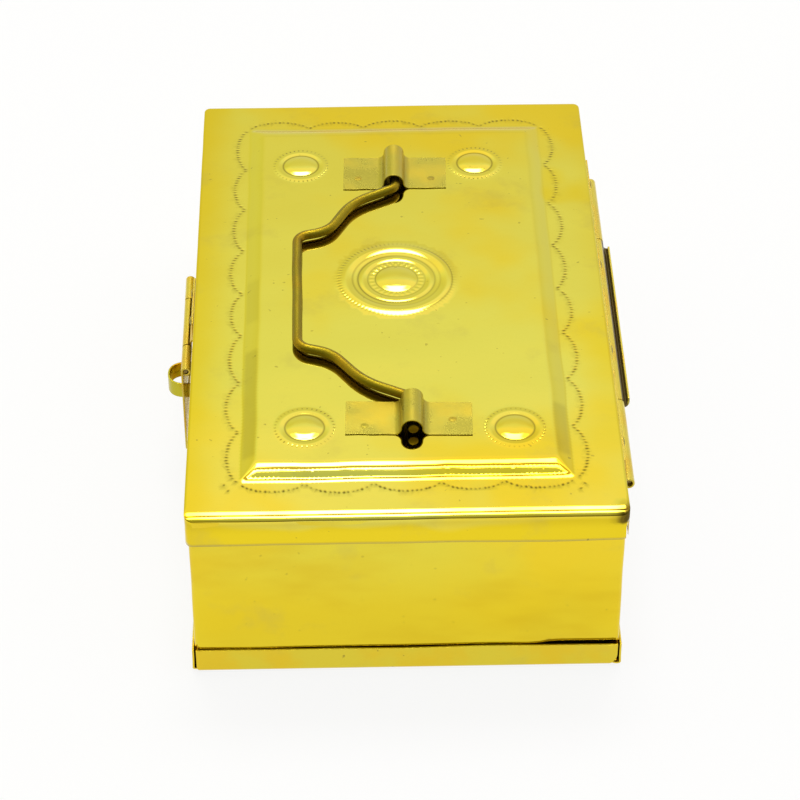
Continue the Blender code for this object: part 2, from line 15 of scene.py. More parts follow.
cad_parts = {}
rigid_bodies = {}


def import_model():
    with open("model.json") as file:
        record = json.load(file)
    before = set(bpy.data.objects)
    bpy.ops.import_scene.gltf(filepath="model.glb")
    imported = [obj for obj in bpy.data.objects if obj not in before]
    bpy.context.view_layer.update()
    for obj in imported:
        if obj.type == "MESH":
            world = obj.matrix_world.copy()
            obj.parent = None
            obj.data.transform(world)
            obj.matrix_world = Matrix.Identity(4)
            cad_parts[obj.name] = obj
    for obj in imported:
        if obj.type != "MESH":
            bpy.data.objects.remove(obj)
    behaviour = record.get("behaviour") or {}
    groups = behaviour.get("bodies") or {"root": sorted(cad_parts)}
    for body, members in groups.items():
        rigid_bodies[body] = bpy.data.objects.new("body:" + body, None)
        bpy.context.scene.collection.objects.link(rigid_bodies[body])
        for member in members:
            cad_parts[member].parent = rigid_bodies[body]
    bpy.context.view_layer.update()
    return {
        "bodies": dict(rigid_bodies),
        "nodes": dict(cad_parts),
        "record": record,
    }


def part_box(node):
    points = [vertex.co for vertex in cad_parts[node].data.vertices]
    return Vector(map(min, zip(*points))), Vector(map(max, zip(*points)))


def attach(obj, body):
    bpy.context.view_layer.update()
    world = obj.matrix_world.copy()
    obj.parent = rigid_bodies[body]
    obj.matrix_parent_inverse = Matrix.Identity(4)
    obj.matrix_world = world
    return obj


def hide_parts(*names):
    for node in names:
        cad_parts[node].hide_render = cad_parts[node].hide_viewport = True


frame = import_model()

MM = 0.001
MERGE = 0.00001  # points closer than this, in metres, are one
EDGE = {"tray": 0.12, "strap": 0.07, "staple": 0.2, "leaf": 0.16, "rivet": 0.10}  # edge rounding
T = 0.7  # sheet thickness


def box_mm(node):
    """A node's lowest and highest corner in millimetres."""
    lo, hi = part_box(node)
    return np.array(lo) / MM, np.array(hi) / MM


# ---- sizes taken from the frame

LID_LO, LID_HI = box_mm("lid")
HALF = (LID_HI[0], LID_HI[1])  # outside of the lid flange
RIM = LID_LO[2] + 11.8  # top of the flat margin, above the flange's lower edge
FIELD = RIM + 3.6  # top of the raised field
FIELD_AT = (0.5, 1.5)  # centre of the raised field
FOOT = (57.5, 106.9)  # half sizes of the bevel's foot
RUN = (5.5, 6.9)  # width of the bevel on the long and the short sides
WALL_LO, WALL_HI = box_mm("body_walls")
TRAY_HI = box_mm("base_tray")[1]

# The pressed ornament follows the CAD lid: centre, then (radius, height) from rim to middle.
MEDALLION = (-0.8, 5.0)
MEDAL_RINGS = ((22.8, 0.0), (21.6, 0.17), (20.4, 0.40), (19.2, 0.57), (18.6, 0.54), (17.9, 0.43),
               (17.2, 0.30), (16.6, 0.16), (16.2, 0.11), (14.9, 0.0), (14.3, -0.06),
               (13.9, -0.02), (13.1, 0.14), (12.7, 0.17), (12.3, 0.15), (11.0, -0.10),
               (10.6, -0.14), (9.4, -0.08), (8.4, -0.10), (8.0, -0.11), (7.4, 0.0),
               (6.4, 0.28), (5.5, 0.48), (4.5, 0.64), (3.7, 0.75), (2.4, 0.85), (1.2, 0.90),
               (0.0, 0.91))
BOSSES = ((-34.9, -80.2), (38.8, -81.6), (-36.7, 79.2), (31.6, 79.6))
BOSS_RINGS = ((11.2, 0.0), (10.4, 0.06), (9.4, 0.15), (8.8, 0.17), (8.1, 0.10), (7.3, 0.0),
              (6.8, -0.05), (6.5, -0.03), (6.2, 0.06), (5.5, 0.25), (5.0, 0.36), (4.5, 0.46),
              (4.0, 0.53), (3.5, 0.58), (2.3, 0.67), (1.2, 0.71), (0.0, 0.72))

# Slope across the bevel of a short side, as a share of the steepest, from foot (0) to top (1).
BEVEL_SLOPE = ((-0.12, 0.0), (-0.06, 0.195), (0.07, 0.43), (0.18, 0.61), (0.22, 0.78), (0.25, 1.0),
               (0.60, 1.0), (0.64, 0.78), (0.88, 0.61), (1.0, 0.43), (1.14, 0.195), (1.26, 0.0))


# ---- smooth irregularity

def waves(seed, length, count=9):
    """A smooth random function of two coordinates, about -1 to 1, of the given wavelength."""
    rng = np.random.default_rng(seed)
    turn = rng.uniform(0, 2 * np.pi, count)
    size = rng.uniform(0.6, 1.5, count) * 2 * np.pi / length
    phase = rng.uniform(0, 2 * np.pi, count)

    def at(x, y):
        x, y = np.asarray(x, float), np.asarray(y, float)
        total = sum(np.cos(s * (x * np.cos(a) + y * np.sin(a)) + p)
                    for a, s, p in zip(turn, size, phase))
        return total / math.sqrt(count) * 0.8
    return at


def smooth(t):
    """0 to 1 with flat ends."""
    t = np.clip(t, 0.0, 1.0)
    return t * t * (3 - 2 * t)


def ramp(u, w):
    """0 below -w, u above w, with a smooth bend between."""
    t = np.clip((u + w) / (2 * w), 0.0, 1.0)
    return 2 * w * (t ** 3 - t ** 4 / 2) + np.maximum(u - w, 0.0)


def radial_table(rings, soften=0.35, step=0.02):
    """Radius and height samples of a turned profile with its bends softened."""
    r = np.arange(0.0, rings[0][0] + 3.0, step)
    rr, hh = zip(*reversed(rings))
    h = np.interp(r, rr, hh, right=0.0)
    k = np.arange(-3 * soften, 3 * soften + step, step)
    kernel = np.exp(-(k / soften) ** 2)
    kernel /= kernel.sum()
    mirrored = np.concatenate([h[::-1], h, np.zeros(len(k))])
    soft = np.convolve(mirrored, kernel, "same")[len(h):2 * len(h)]
    return r, soft


def bevel_table():
    """Rise, 0 to 1, against the place across the bevel."""
    u = np.linspace(BEVEL_SLOPE[0][0], BEVEL_SLOPE[-1][0], 400)
    rise = np.cumsum(np.interp(u, *zip(*BEVEL_SLOPE)))
    return u, (rise - rise[0]) / (rise[-1] - rise[0])


MEDAL_TABLE = radial_table(MEDAL_RINGS)
BOSS_TABLE = radial_table(BOSS_RINGS, 0.3)
BEVEL_TABLE = bevel_table()


# ---- scalloped dot border

ARC_STRETCH, DOT_PITCH = 1.1, 1.75  # an arc's length over its chord, and the dots' spacing
STRAY_DOTS = ((-61.0, -109.5), (-62.5, -106.5), (61.6, -108.4), (60.0, -111.0))


def scallops():
    """Places, directions and sizes of the chased dots, in arcs that bulge out from the foot."""
    rng = np.random.default_rng(11)
    dots = []
    for axis, half, across, count in ((0, FOOT[0], FOOT[1], 5), (1, FOOT[1], FOOT[0], 8)):
        for side in (-1, 1):
            knots = np.linspace(-half, half, count + 1)
            knots[1:-1] += rng.uniform(-1.0, 1.0, count - 1)
            for a, b in zip(knots, knots[1:]):
                n = int(round((b - a) * ARC_STRETCH / DOT_PITCH))
                bulge = rng.uniform(4.3, 5.4)
                for i in range(n):
                    t = (i + 0.5) / n + rng.uniform(-0.12, 0.12) / n
                    along = a + (b - a) * t
                    out = across + 0.5 + bulge * (1 - (2 * t - 1) ** 2) ** 0.62
                    out += rng.uniform(-0.12, 0.12)
                    slope = -bulge * 2.4 * (2 * t - 1) / (b - a) * 2
                    lean = math.atan2(slope, 2.0) * side + rng.uniform(-0.25, 0.25)
                    size = rng.uniform(0.6, 1.2)
                    p = (along, side * out) if axis == 0 else (side * out, along)
                    p = (p[0] + FIELD_AT[0], p[1] + FIELD_AT[1])
                    turn = math.pi / 2 - lean if axis == 0 else lean
                    dots.append((p[0], p[1], turn, size))
    for x, y in STRAY_DOTS:
        dots.append((x, y, rng.uniform(0, 3), 0.8))
    return np.array(dots)


DOTS = scallops()
DOT_LONG, DOT_WIDE, DOT_HIGH = 0.60, 0.40, -0.055
DOT_REACH = 2.4  # a dot is not worked out beyond this
DOT_STAIN, DOT_STAIN_SHIFT = 1.15, (0.15, 0.28)  # a dot's stain is wider and lies off its centre


def add_dots(total, x, y, grow, amount, shift=(0.0, 0.0)):
    """Add amount(dot) times a smooth oval for each dot, grow(size) times a dot's own size."""
    for dot in DOTS:
        cx, cy, turn, size = dot
        dx, dy = x - cx, y - cy
        close = (np.abs(dx) < DOT_REACH) & (np.abs(dy) < DOT_REACH)
        dx, dy = dx[close] + shift[0], dy[close] + shift[1]
        c, s = math.cos(turn), math.sin(turn)
        a = (dx * c + dy * s) / (DOT_LONG * grow(size))
        b = (-dx * s + dy * c) / (DOT_WIDE * grow(size))
        total[close] += amount(dot) * np.exp(-(a * a + b * b))


def dot_height(x, y):
    """Sum of the small punched dots near each point."""
    z = np.zeros_like(x)
    near = (np.abs(x) > FOOT[0] - 2) | (np.abs(y) > FOOT[1] - 3)
    total = np.zeros(int(near.sum()))
    add_dots(total, x[near], y[near], lambda size: size, lambda dot: DOT_HIGH * dot[3])
    z[near] = total
    return z


# ---- height of the lid's sheet

broad, medium, foot_wave, top_wave = waves(1, 120), waves(2, 34), waves(3, 40), waves(4, 50)
ripple = waves(8, 13)
MITRE = 0.45  # how softly the bevel's corners are mitred
BEADS, BEAD_R = 28, 9.3
TICKS, TICK_R = 84, 21.5
NOTCHES, NOTCH_R = 38, 10.4
MEDAL_REACH, BOSS_REACH = 26, 14  # how far out each ornament is worked out
RIM_LINE_R, BOSS_CREASE_R = 20.9, 6.9  # the medallion's rim line, and the crease at a dome
NEAR_FOOT = FIELD_AT[1] - FOOT[1]
DENTS = ((-38.5, NEAR_FOOT + 3.4, 2.1, 0.20), (-12.0, NEAR_FOOT + 1.8, 1.1, 0.08),
         (14.5, NEAR_FOOT + 3.6, 1.6, 0.18), (37.0, NEAR_FOOT + 3.0, 1.5, 0.18),
         (-21.0, NEAR_FOOT + 3.0, 0.9, 0.06), (47.5, NEAR_FOOT + 2.6, 1.0, 0.06))


def polar(x, y, centre):
    """Radius and angle about a centre."""
    dx, dy = x - centre[0], y - centre[1]
    return np.hypot(dx, dy), np.arctan2(dy, dx)


def ridge(r, at, width):
    """A smooth ring, 1 high, at a radius."""
    return np.exp(-((r - at) / width) ** 2)


def boss_notches(a, k):
    """The notches round boss k, 0 to 1, and how strongly each was struck."""
    notch = smooth(np.cos(NOTCHES * a + 0.3 * np.sin(2 * a + k)) * 1.6 - 0.6)
    return notch, 0.75 + 0.35 * np.sin(2 * a + 1.7 * k)


def ornament(x, y):
    """Medallion and bosses with their beads and milled rims."""
    z = np.zeros_like(x)
    r, a = polar(x, y, MEDALLION)
    inside = r < MEDAL_REACH
    r, a = r[inside], a[inside]
    part = np.interp(r, *MEDAL_TABLE)
    bead = np.cos(BEADS * a + 0.25 * np.sin(3 * a))
    far = 0.03 + 0.09 * smooth(np.sin(a) * 1.2)
    part += far * ridge(r, BEAD_R, 0.8) * bead
    tick = np.cos(TICKS * a + 0.4 * np.sin(2 * a + 1)) - 0.6
    fade = 0.12 + 0.88 * smooth((0.1 - np.cos(a)) / 0.8) * smooth((np.sin(a) + 0.95) / 0.5)
    part += 0.035 * fade * ridge(r, TICK_R, 0.8) * tick
    part -= 0.10 * ridge(r, RIM_LINE_R, 0.28) * smooth((np.cos(a) - 0.3) / 0.6)
    z[inside] += part
    for k, centre in enumerate(BOSSES):
        r, a = polar(x, y, centre)
        inside = r < BOSS_REACH
        r, a = r[inside], a[inside]
        part = np.interp(r, *BOSS_TABLE)
        notch, keep = boss_notches(a, k)
        if k == 0:  # the near left boss is worn on its left side
            keep = keep * (1 - 0.8 * smooth((np.cos(a - math.pi) - 0.45) / 0.3))
        part -= 0.05 * keep * ridge(r, NOTCH_R, 0.42) * notch
        z[inside] += part
    return z


def dents(x, y):
    """A few shallow round dents on the near bevel and stray punch marks on the field."""
    z = np.zeros_like(x)
    for cx, cy, radius, depth in DENTS:
        d = np.hypot(x - cx, y - cy) / radius
        z -= 0.3 * depth * np.exp(-d * d) * (1 - 0.9 * np.exp(-4 * d * d))
    return z


def height(x, y):
    """Height of the lid's outer face over its plan."""
    x, y = np.asarray(x, float), np.asarray(y, float)
    run_y = RUN[1] + 0.35 * top_wave(x, y * 0.1)
    ax = (FOOT[0] + 0.18 * foot_wave(y, x * 0.1) - np.abs(x - FIELD_AT[0])) / RUN[0]
    ay = (FOOT[1] + 0.22 * foot_wave(x, y * 0.1) - np.abs(y - FIELD_AT[1])) / run_y
    ay = ay + 0.012 * ripple(x, y * 0.2) * np.exp(-((ay - 0.5) / 0.3) ** 2)
    long_side = ramp(ax, 0.12) - ramp(ax - 1.0, 0.20)
    short_side = np.interp(ay, *BEVEL_TABLE)
    soft = MITRE ** 2 * long_side * short_side
    rise = 0.5 * (long_side + short_side - np.sqrt((long_side - short_side) ** 2 + soft))
    z = RIM + (FIELD - RIM) * rise
    z += 0.10 * broad(x, y) + 0.018 * medium(x, y)
    # a small lump at the near right corner
    z += 0.30 * np.exp(-((x - HALF[0] + 2.2) ** 2 + (y + HALF[1] - 4.2) ** 2) / 3.5)
    return z + ornament(x, y) + dot_height(x, y) + dents(x, y)


def stain_of(dot):
    """How dark a dot is; those along the near side are darkest."""
    cx, cy, _, size = dot
    return (1.0 if math.hypot(cx, cy) > 108 and cy < 0 else 0.85) * size


def tarnish_at(x, y):
    """How dark the brass is, 0 to 1: in punched dots, notches and the creases of the ornament."""
    dark = np.zeros_like(x)
    add_dots(dark, x, y, lambda size: DOT_STAIN, stain_of, DOT_STAIN_SHIFT)
    r, a = polar(x, y, MEDALLION)
    left, right = smooth((0.2 - np.cos(a)) / 0.8), smooth((np.cos(a) - 0.1) / 0.6)
    for ring, wide, deep in ((14.4, 0.35, 0.7), (10.7, 0.3, 0.45), (7.9, 0.25, 0.6),
                             (16.4, 0.3, 0.45)):
        dark += deep * (0.6 + 0.4 * left) * ridge(r, ring, wide)
    dark += 0.5 * right * ridge(r, RIM_LINE_R, 0.3)
    tick = smooth(np.cos(TICKS * a + 0.4 * np.sin(2 * a + 1) + math.pi) * 1.5 - 0.3)
    dark += 0.6 * tick * (0.25 + 0.75 * left) * ridge(r, TICK_R, 0.8)
    for k, centre in enumerate(BOSSES):
        r, a = polar(x, y, centre)
        dark += 0.7 * ridge(r, BOSS_CREASE_R, 0.32)
        notch, keep = boss_notches(a, k)
        dark += 0.95 * keep * notch * ridge(r, NOTCH_R, 0.38)
    for side, y0, y1, deep in ((-1, -96.0, -34.0, 0.20), (1, -96.0, -66.0, 0.20),
                               (-1, -20.0, 8.0, 0.10)):
        across = (side * (x - FIELD_AT[0]) - FOOT[0] + RUN[0] / 2) / (RUN[0] / 2)
        along = smooth((y - y0) / 3.0) * smooth((y1 - y) / 3.0)
        dark += deep * along * smooth((1.0 - np.abs(across)) * 3.0)
    return np.clip(dark, 0.0, 0.9)


def normals_at(x, y, step=0.03):
    """Unit normals of the height function."""
    gx = (height(x + step, y) - height(x - step, y)) / (2 * step)
    gy = (height(x, y + step) - height(x, y - step)) / (2 * step)
    n = np.stack([-gx, -gy, np.ones_like(gx)], 1)
    return n / np.linalg.norm(n, axis=1, keepdims=True)


# ---- mesh helpers

def linked(name, data):
    """A new object in the scene."""
    obj = bpy.data.objects.new(name, data)
    bpy.context.scene.collection.objects.link(obj)
    return obj


def new_object(name, verts, faces, body, replaces, smooth_angle=40.0):
    """A mesh object from millimetre points, riding on its body."""
    mesh = bpy.data.meshes.new(name)
    mesh.from_pydata((np.asarray(verts, float) * MM).tolist(), [], faces)
    mesh.polygons.foreach_set("use_smooth", [True] * len(mesh.polygons))
    mesh.set_sharp_from_angle(angle=math.radians(smooth_angle))
    obj = linked(name, mesh)
    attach(obj, body)
    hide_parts(*replaces)
    return obj


def face_outwards(obj, merge=False):
    """Make a closed mesh's faces point out, after merging points that coincide if asked."""
    bm = bmesh.new()
    bm.from_mesh(obj.data)
    if merge:
        bmesh.ops.remove_doubles(bm, verts=bm.verts, dist=MERGE)
    bmesh.ops.recalc_face_normals(bm, faces=bm.faces)
    bm.to_mesh(obj.data)
    bm.free()


def loop_faces(loops, n):
    """Quads between successive closed loops of n points."""
    return [(j * n + k, j * n + (k + 1) % n, (j + 1) * n + (k + 1) % n, (j + 1) * n + k)
            for j in range(loops - 1) for k in range(n)]


def directions(path):
    """Unit directions along a path of points."""
    ahead = np.gradient(path, axis=0)
    return ahead / np.linalg.norm(ahead, axis=1, keepdims=True)


def left_of(path):
    """Unit normals on the left of a flat path."""
    ahead = directions(path)
    return np.column_stack([-ahead[:, 1], ahead[:, 0]])


def strip_faces(rows, m):
    """Faces of a closed strip: two sheets of rows by m points, and the rim between them."""
    faces, base = [], rows * m
    for i in range(rows - 1):
        for j in range(m - 1):
            quad = (i * m + j, (i + 1) * m + j, (i + 1) * m + j + 1, i * m + j + 1)
            faces += [quad, tuple(base + k for k in reversed(quad))]
    rim = [i * m for i in range(rows)] + [(rows - 1) * m + j for j in range(1, m)]
    rim += [i * m + m - 1 for i in range(rows - 2, -1, -1)] + list(range(m - 2, 0, -1))
    return faces + [(a, b, b + base, a + base) for a, b in zip(rim, rim[1:] + rim[:1])]


def ring_points(cx, cy, radii, pitch, fine=()):
    """Points on circles; fine lists (radius, half width, number) where a pattern needs more."""
    out = []
    for k, r in enumerate(radii):
        n = max(8, int(round(2 * math.pi * r / pitch)))
        for fr, half, count in fine:
            if abs(r - fr) < half:
                n = max(n, count)
        a = 2 * np.pi * (np.arange(n) + 0.5 * (k % 2)) / n
        out.append(np.stack([cx + r * np.cos(a), cy + r * np.sin(a)], 1))
    return np.concatenate(out)


def round_rect(x0, x1, y0, y1, r, pitch, corner):
    """Divided outline of a rounded rectangle, anticlockwise from +X: points, normals, angles."""
    points, angles = [], []
    corners = ((x1, y1, 1, 1, 0), (x0, y1, -1, 1, 90), (x0, y0, -1, -1, 180), (x1, y0, 1, -1, 270))
    for k, (cx, cy, sx, sy, a0) in enumerate(corners):
        for i in range(corner + 1):
            angle = a0 + 90 * i / corner
            a = math.radians(angle)
            points.append((cx - sx * r + r * math.cos(a), cy - sy * r + r * math.sin(a)))
            angles.append(angle)
        n = pitch[k % 2]
        px, py = points[-1]
        nx, ny, nsx, nsy, _ = corners[(k + 1) % 4]
        ex, ey = (nx - nsx * r, py) if k % 2 == 0 else (px, ny - nsy * r)
        for i in range(1, n):
            points.append((px + (ex - px) * i / n, py + (ey - py) * i / n))
            angles.append(angles[-1])
    turn = np.radians(angles)
    return np.array(points), np.stack([np.cos(turn), np.sin(turn)], 1), np.array(angles)


def centred_rect(centre, hx, hy, r, pitch, corner):
    """A rounded rectangle by its centre and half sizes."""
    cx, cy = centre
    return round_rect(cx - hx, cx + hx, cy - hy, cy + hy, r, pitch, corner)


# ---- the lid

# The fold at the lid's edge: (arc length, tilt in degrees), gentle first and then tight.
FOLD = ((0.0, 0.0), (0.4, 7.0), (1.9, 15.0), (2.5, 21.5), (3.6, 30.0), (4.1, 58.0),
        (4.5, 80.0), (4.8, 90.0))


def fold_path(steps=22):
    """(out, down) along the fold, and its tilt."""
    s = np.linspace(0, FOLD[-1][0], steps)
    tilt = np.radians(np.interp(s, *zip(*FOLD)))
    mid = (tilt[1:] + tilt[:-1]) / 2
    ds = np.diff(s)
    out = np.concatenate([[0], np.cumsum(ds * np.cos(mid))])
    down = np.concatenate([[0], np.cumsum(ds * np.sin(mid))])
    return out, down, tilt


FOLD_OUT, FOLD_DOWN, FOLD_TILT = fold_path()
INSET = FOLD_OUT[-1]  # from the flange's face in to where the fold starts
FOLD_SHARE = (0.26, 0.18, 0.26, 1.0, 0.26)  # how wide the fold is on +X, +Y, -X, -Y and +X again
NEAR_TUCK = 1.0  # the near flange leans in this far at its top
RIM_CORNER = 0.8
CORNER_GROWTH = 0.45  # how much the plan radius grows over the fold
PITCH = (58, 96)  # divisions of the short and the long sides
CORNER_STEPS = 5


def outline(out):
    """The lid's outline at a distance out from where the fold starts, and its fold's share."""
    back = [(INSET - out) * share for share in FOLD_SHARE]
    back[3] += NEAR_TUCK
    xy, side, angle = round_rect(-HALF[0] + back[2], HALF[0] - back[0],
                                 -HALF[1] + back[3], HALF[1] - back[1],
                                 RIM_CORNER + CORNER_GROWTH * max(out, 0.0), PITCH, CORNER_STEPS)
    return xy, side, np.interp(angle, (0, 90, 180, 270, 360), FOLD_SHARE)


def inside_fold(points, gap):
    """Which plan points lie inside the start of the fold by at least the gap."""
    lim = [INSET * share + gap for share in FOLD_SHARE]
    lim[3] += NEAR_TUCK
    x, y = points[:, 0], points[:, 1]
    return ((x < HALF[0] - lim[0]) & (y < HALF[1] - lim[1])
            & (x > -HALF[0] + lim[2]) & (y > -HALF[1] + lim[3]))


def plan_points(fine):
    """Plan points for the lid's sheet, close together where it is pressed or bent."""
    step = 2.2 if fine else 4.0
    gx, gy = np.meshgrid(np.arange(-HALF[0], HALF[0], step), np.arange(-HALF[1], HALF[1], step))
    gx = gx + (np.arange(gx.shape[0])[:, None] % 2) * step * 0.3
    grid = np.stack([gx.ravel(), gy.ravel()], 1)
    grid = grid[inside_fold(grid, 0.5)]
    u = np.minimum(*((np.array(FOOT) - np.abs(grid - FIELD_AT)) / RUN).T)
    grid = grid[(u < -0.25) | (u > 1.45)]
    keep = np.hypot(*(grid - MEDALLION).T) > 23.2
    for c in BOSSES:
        keep &= np.hypot(*(grid - c).T) > 12.0
    sets = [grid[keep]]
    levels = (-0.2, -0.13, -0.09, -0.05, 0.0, 0.07, 0.12, 0.17, 0.19, 0.205, 0.22, 0.235,
              0.255, 0.31, 0.4, 0.5, 0.57, 0.605, 0.62, 0.64, 0.67, 0.73, 0.80, 0.87, 0.92,
              0.97, 1.02, 1.09, 1.16, 1.22, 1.29, 1.36)
    for u in levels if fine else levels[::4]:
        n = (72, 120) if fine else (40, 70)
        sets.append(centred_rect(FIELD_AT, FOOT[0] - RUN[0] * u, FOOT[1] - RUN[1] * u,
                                 0.02, n, 1)[0])
    for cx, cy, radius, _ in DENTS if fine else ():
        sets.append(ring_points(cx, cy, radius * np.arange(0.2, 2.1, 0.3), 0.4))
    if fine:
        medal = ring_points(*MEDALLION, np.arange(0.35, 22.9, 0.36), 0.55,
                            ((BEAD_R, 1.2, 6 * BEADS), (TICK_R, 1.2, 4 * TICKS)))
        boss = [ring_points(*c, np.arange(0.35, 11.7, 0.3), 0.5, ((NOTCH_R, 0.8, 6 * NOTCHES),))
                for c in BOSSES]
    else:
        medal = ring_points(*MEDALLION, np.arange(0.8, 22.9, 0.8), 1.0)
        boss = [ring_points(*c, np.arange(0.8, 11.7, 0.7), 0.9) for c in BOSSES]
    sets += [medal] + boss
    angles = np.arange(8) * np.pi / 4
    for cx, cy, turn, size in DOTS:
        local = [(0.0, 0.0)]
        for k in ((0.45, 0.85, 1.35, 2.0) if fine else (0.9, 1.8)):
            local += [(k * DOT_LONG * size * math.cos(a), k * DOT_WIDE * size * math.sin(a))
                      for a in angles]
        local = np.array(local)
        c, s = math.cos(turn), math.sin(turn)
        sets.append(np.stack([cx + local[:, 0] * c - local[:, 1] * s,
                              cy + local[:, 0] * s + local[:, 1] * c], 1))
    points = np.concatenate(sets)
    return points[inside_fold(points, 0.25)]


def lid_skin(fine):
    """Plan points and triangles inside the fold; the outline's points come first."""
    rim = outline(0.0)[0]
    n = len(rim)
    plan = np.concatenate([rim, plan_points(fine)])
    edges = [(k, (k + 1) % n) for k in range(n)]
    found, _, tris, source, _, _ = delaunay_2d_cdt(
        [Vector(p) for p in plan.tolist()], edges, [], 1, 1e-4)
    home = [0] * n
    for s, origins in enumerate(source):
        for k in origins:
            if k < n:
                home[k] = s
    return np.array([tuple(p) for p in found]), [tuple(t) for t in tris], home


flange_wave, edge_wave, fold_wave = waves(5, 75), waves(6, 42), waves(7, 30)
FLANGE_ROWS = 8
SLIT_COLUMNS = (-(PITCH[1] + 3), -(PITCH[1] + 1))  # the near right corner's open columns
SLIT_FROM = 2  # the flange row where the slit begins
DEPTH = RIM - LID_LO[2]


def skirt_rows(fine):
    """(out, down, tilt) of each loop from the fold to the flange's lower edge."""
    low = np.linspace(FOLD_DOWN[-1], DEPTH, FLANGE_ROWS + 1)[1:]
    if fine:
        rows = list(zip(FOLD_OUT[1:], FOLD_DOWN[1:], FOLD_TILT[1:]))
        return rows + [(INSET, d, math.pi / 2) for d in low]
    keep = range(2, len(FOLD_OUT), 3)
    rows = [(FOLD_OUT[k] - T * math.sin(FOLD_TILT[k]),
             FOLD_DOWN[k] - T + T * math.cos(FOLD_TILT[k]), FOLD_TILT[k]) for k in keep]
    return rows + [(INSET - T, d - T, math.pi / 2) for d in low]


def lid_sheet():
    """The whole lid as one closed sheet of even thickness, slit at the near right corner."""
    verts, faces, normals, edges, dark = [], [], [], [], []
    for fine, drop in ((True, 0.0), (False, T)):
        points, tris, home = lid_skin(fine)
        x, y = points.T
        first = len(verts)
        verts += np.stack([x, y, height(x, y) - drop], 1).tolist()
        normals += (normals_at(x, y) * (1 if fine else -1)).tolist()
        dark += (tarnish_at(x, y) * fine).tolist()
        faces += [tuple(first + k for k in (t if fine else reversed(t))) for t in tris]
        last = [first + k for k in home]
        rim_z = height(*outline(0.0)[0].T) - drop
        rows = skirt_rows(fine)
        flange = []
        for j, (out, down, tilt) in enumerate(rows):
            xy, side, share = outline(out)
            if not fine:
                share = 1 - (1 - share) * smooth(down / FOLD_DOWN[-1])
            t = down / DEPTH
            fold_down = np.minimum(down, FOLD_DOWN[-1]) * share
            rest = max(down - FOLD_DOWN[-1], 0.0) / (DEPTH - FOLD_DOWN[-1])
            fall = fold_down + rest * (DEPTH - FOLD_DOWN[-1] * share)
            sway = -0.13 * (1 + flange_wave(xy[:, 0] + xy[:, 1], 30 * t)) * smooth(t * 2 - 0.4)
            sway += 0.10 * fold_wave(*xy.T) * math.sin(tilt) * (t < 0.5) * smooth(t * 4)
            xy = xy + side * np.minimum(sway, 0.0)[:, None]
            xy[:, 1] -= NEAR_TUCK * np.clip(-side[:, 1], 0, 1) * smooth((t - 0.2) / 0.8)
            z = rim_z * (1 - smooth(t * 1.5)) + (RIM - drop) * smooth(t * 1.5) - fall
            z = z + 0.16 * edge_wave(*xy.T) * smooth(t * 2 - 0.9)
            start, m = len(verts), len(z)
            verts += np.column_stack([xy, z]).tolist()
            normals += [(0.0, 0.0, 0.0)] * m
            worn = 0.5 * smooth((t - 0.93) / 0.07) if fine else 0.6 * smooth((t - 0.8) / 0.2)
            knot = 1.7 * np.exp(-((xy[:, 0] - HALF[0]) ** 2 + (xy[:, 1] + HALF[1] - 1) ** 2) / 14.0)
            # Painted shade: a darker band on the flange just below the rolled fold.
            under = 0.18 * smooth((t - 0.16) / 0.05) * (1 - smooth((t - 0.22) / 0.4))
            dark += (worn + (under if fine else 0.0) + knot * (t < 0.45)).tolist()
            ring = list(range(start, start + m))
            slit = j > len(rows) - FLANGE_ROWS + SLIT_FROM
            for k in range(m):
                if slit and m + SLIT_COLUMNS[0] <= k < m + SLIT_COLUMNS[1]:
                    continue
                k2 = (k + 1) % m
                quad = (last[k], ring[k], ring[k2], last[k2])
                faces.append(quad if fine else quad[::-1])
            if j >= len(rows) - FLANGE_ROWS + SLIT_FROM:
                flange.append(ring)
            last = ring
        edges.append(flange)
    outer, inner = edges
    m = len(outer[-1])
    s0, s1 = (m + column for column in SLIT_COLUMNS)
    faces += [(outer[-1][k], inner[-1][k], inner[-1][(k + 1) % m], outer[-1][(k + 1) % m])
              for k in range(m) if not s0 <= k < s1]
    for a, b, c, d in zip(outer, outer[1:], inner, inner[1:]):
        faces += [(a[s0], c[s0], d[s0], b[s0]), (b[s1], d[s1], c[s1], a[s1])]
    faces += [(outer[0][k], inner[0][k], inner[0][k + 1], outer[0][k + 1])
              for k in range(s0, s1)]
    lid = new_object("lid_sheet", verts, faces, "lid", ("lid",), 45.0)
    lid.data.normals_split_custom_set_from_vertices(normals)
    # The "tarnish" points hold tarnish in dots and creases, wear at the lower edge, a dark corner,
    # and painted shade just below the fold.
    marks = lid.data.attributes.new("tarnish", "FLOAT", "POINT")
    marks.data.foreach_set("value", dark)
    return lid


lid = lid_sheet()


# ---- body and base tray

wall_wave, small_wave, lip_wave = waves(21, 70), waves(22, 22), waves(23, 26)
WALL_ROWS = 26
WALL_PITCH = (44, 64)
LAP = (-4.0, 6.0)  # the lapped seam inside the far wall
GAP_X = (44.0, 52.0)  # the near wall stands back from the lip beyond this


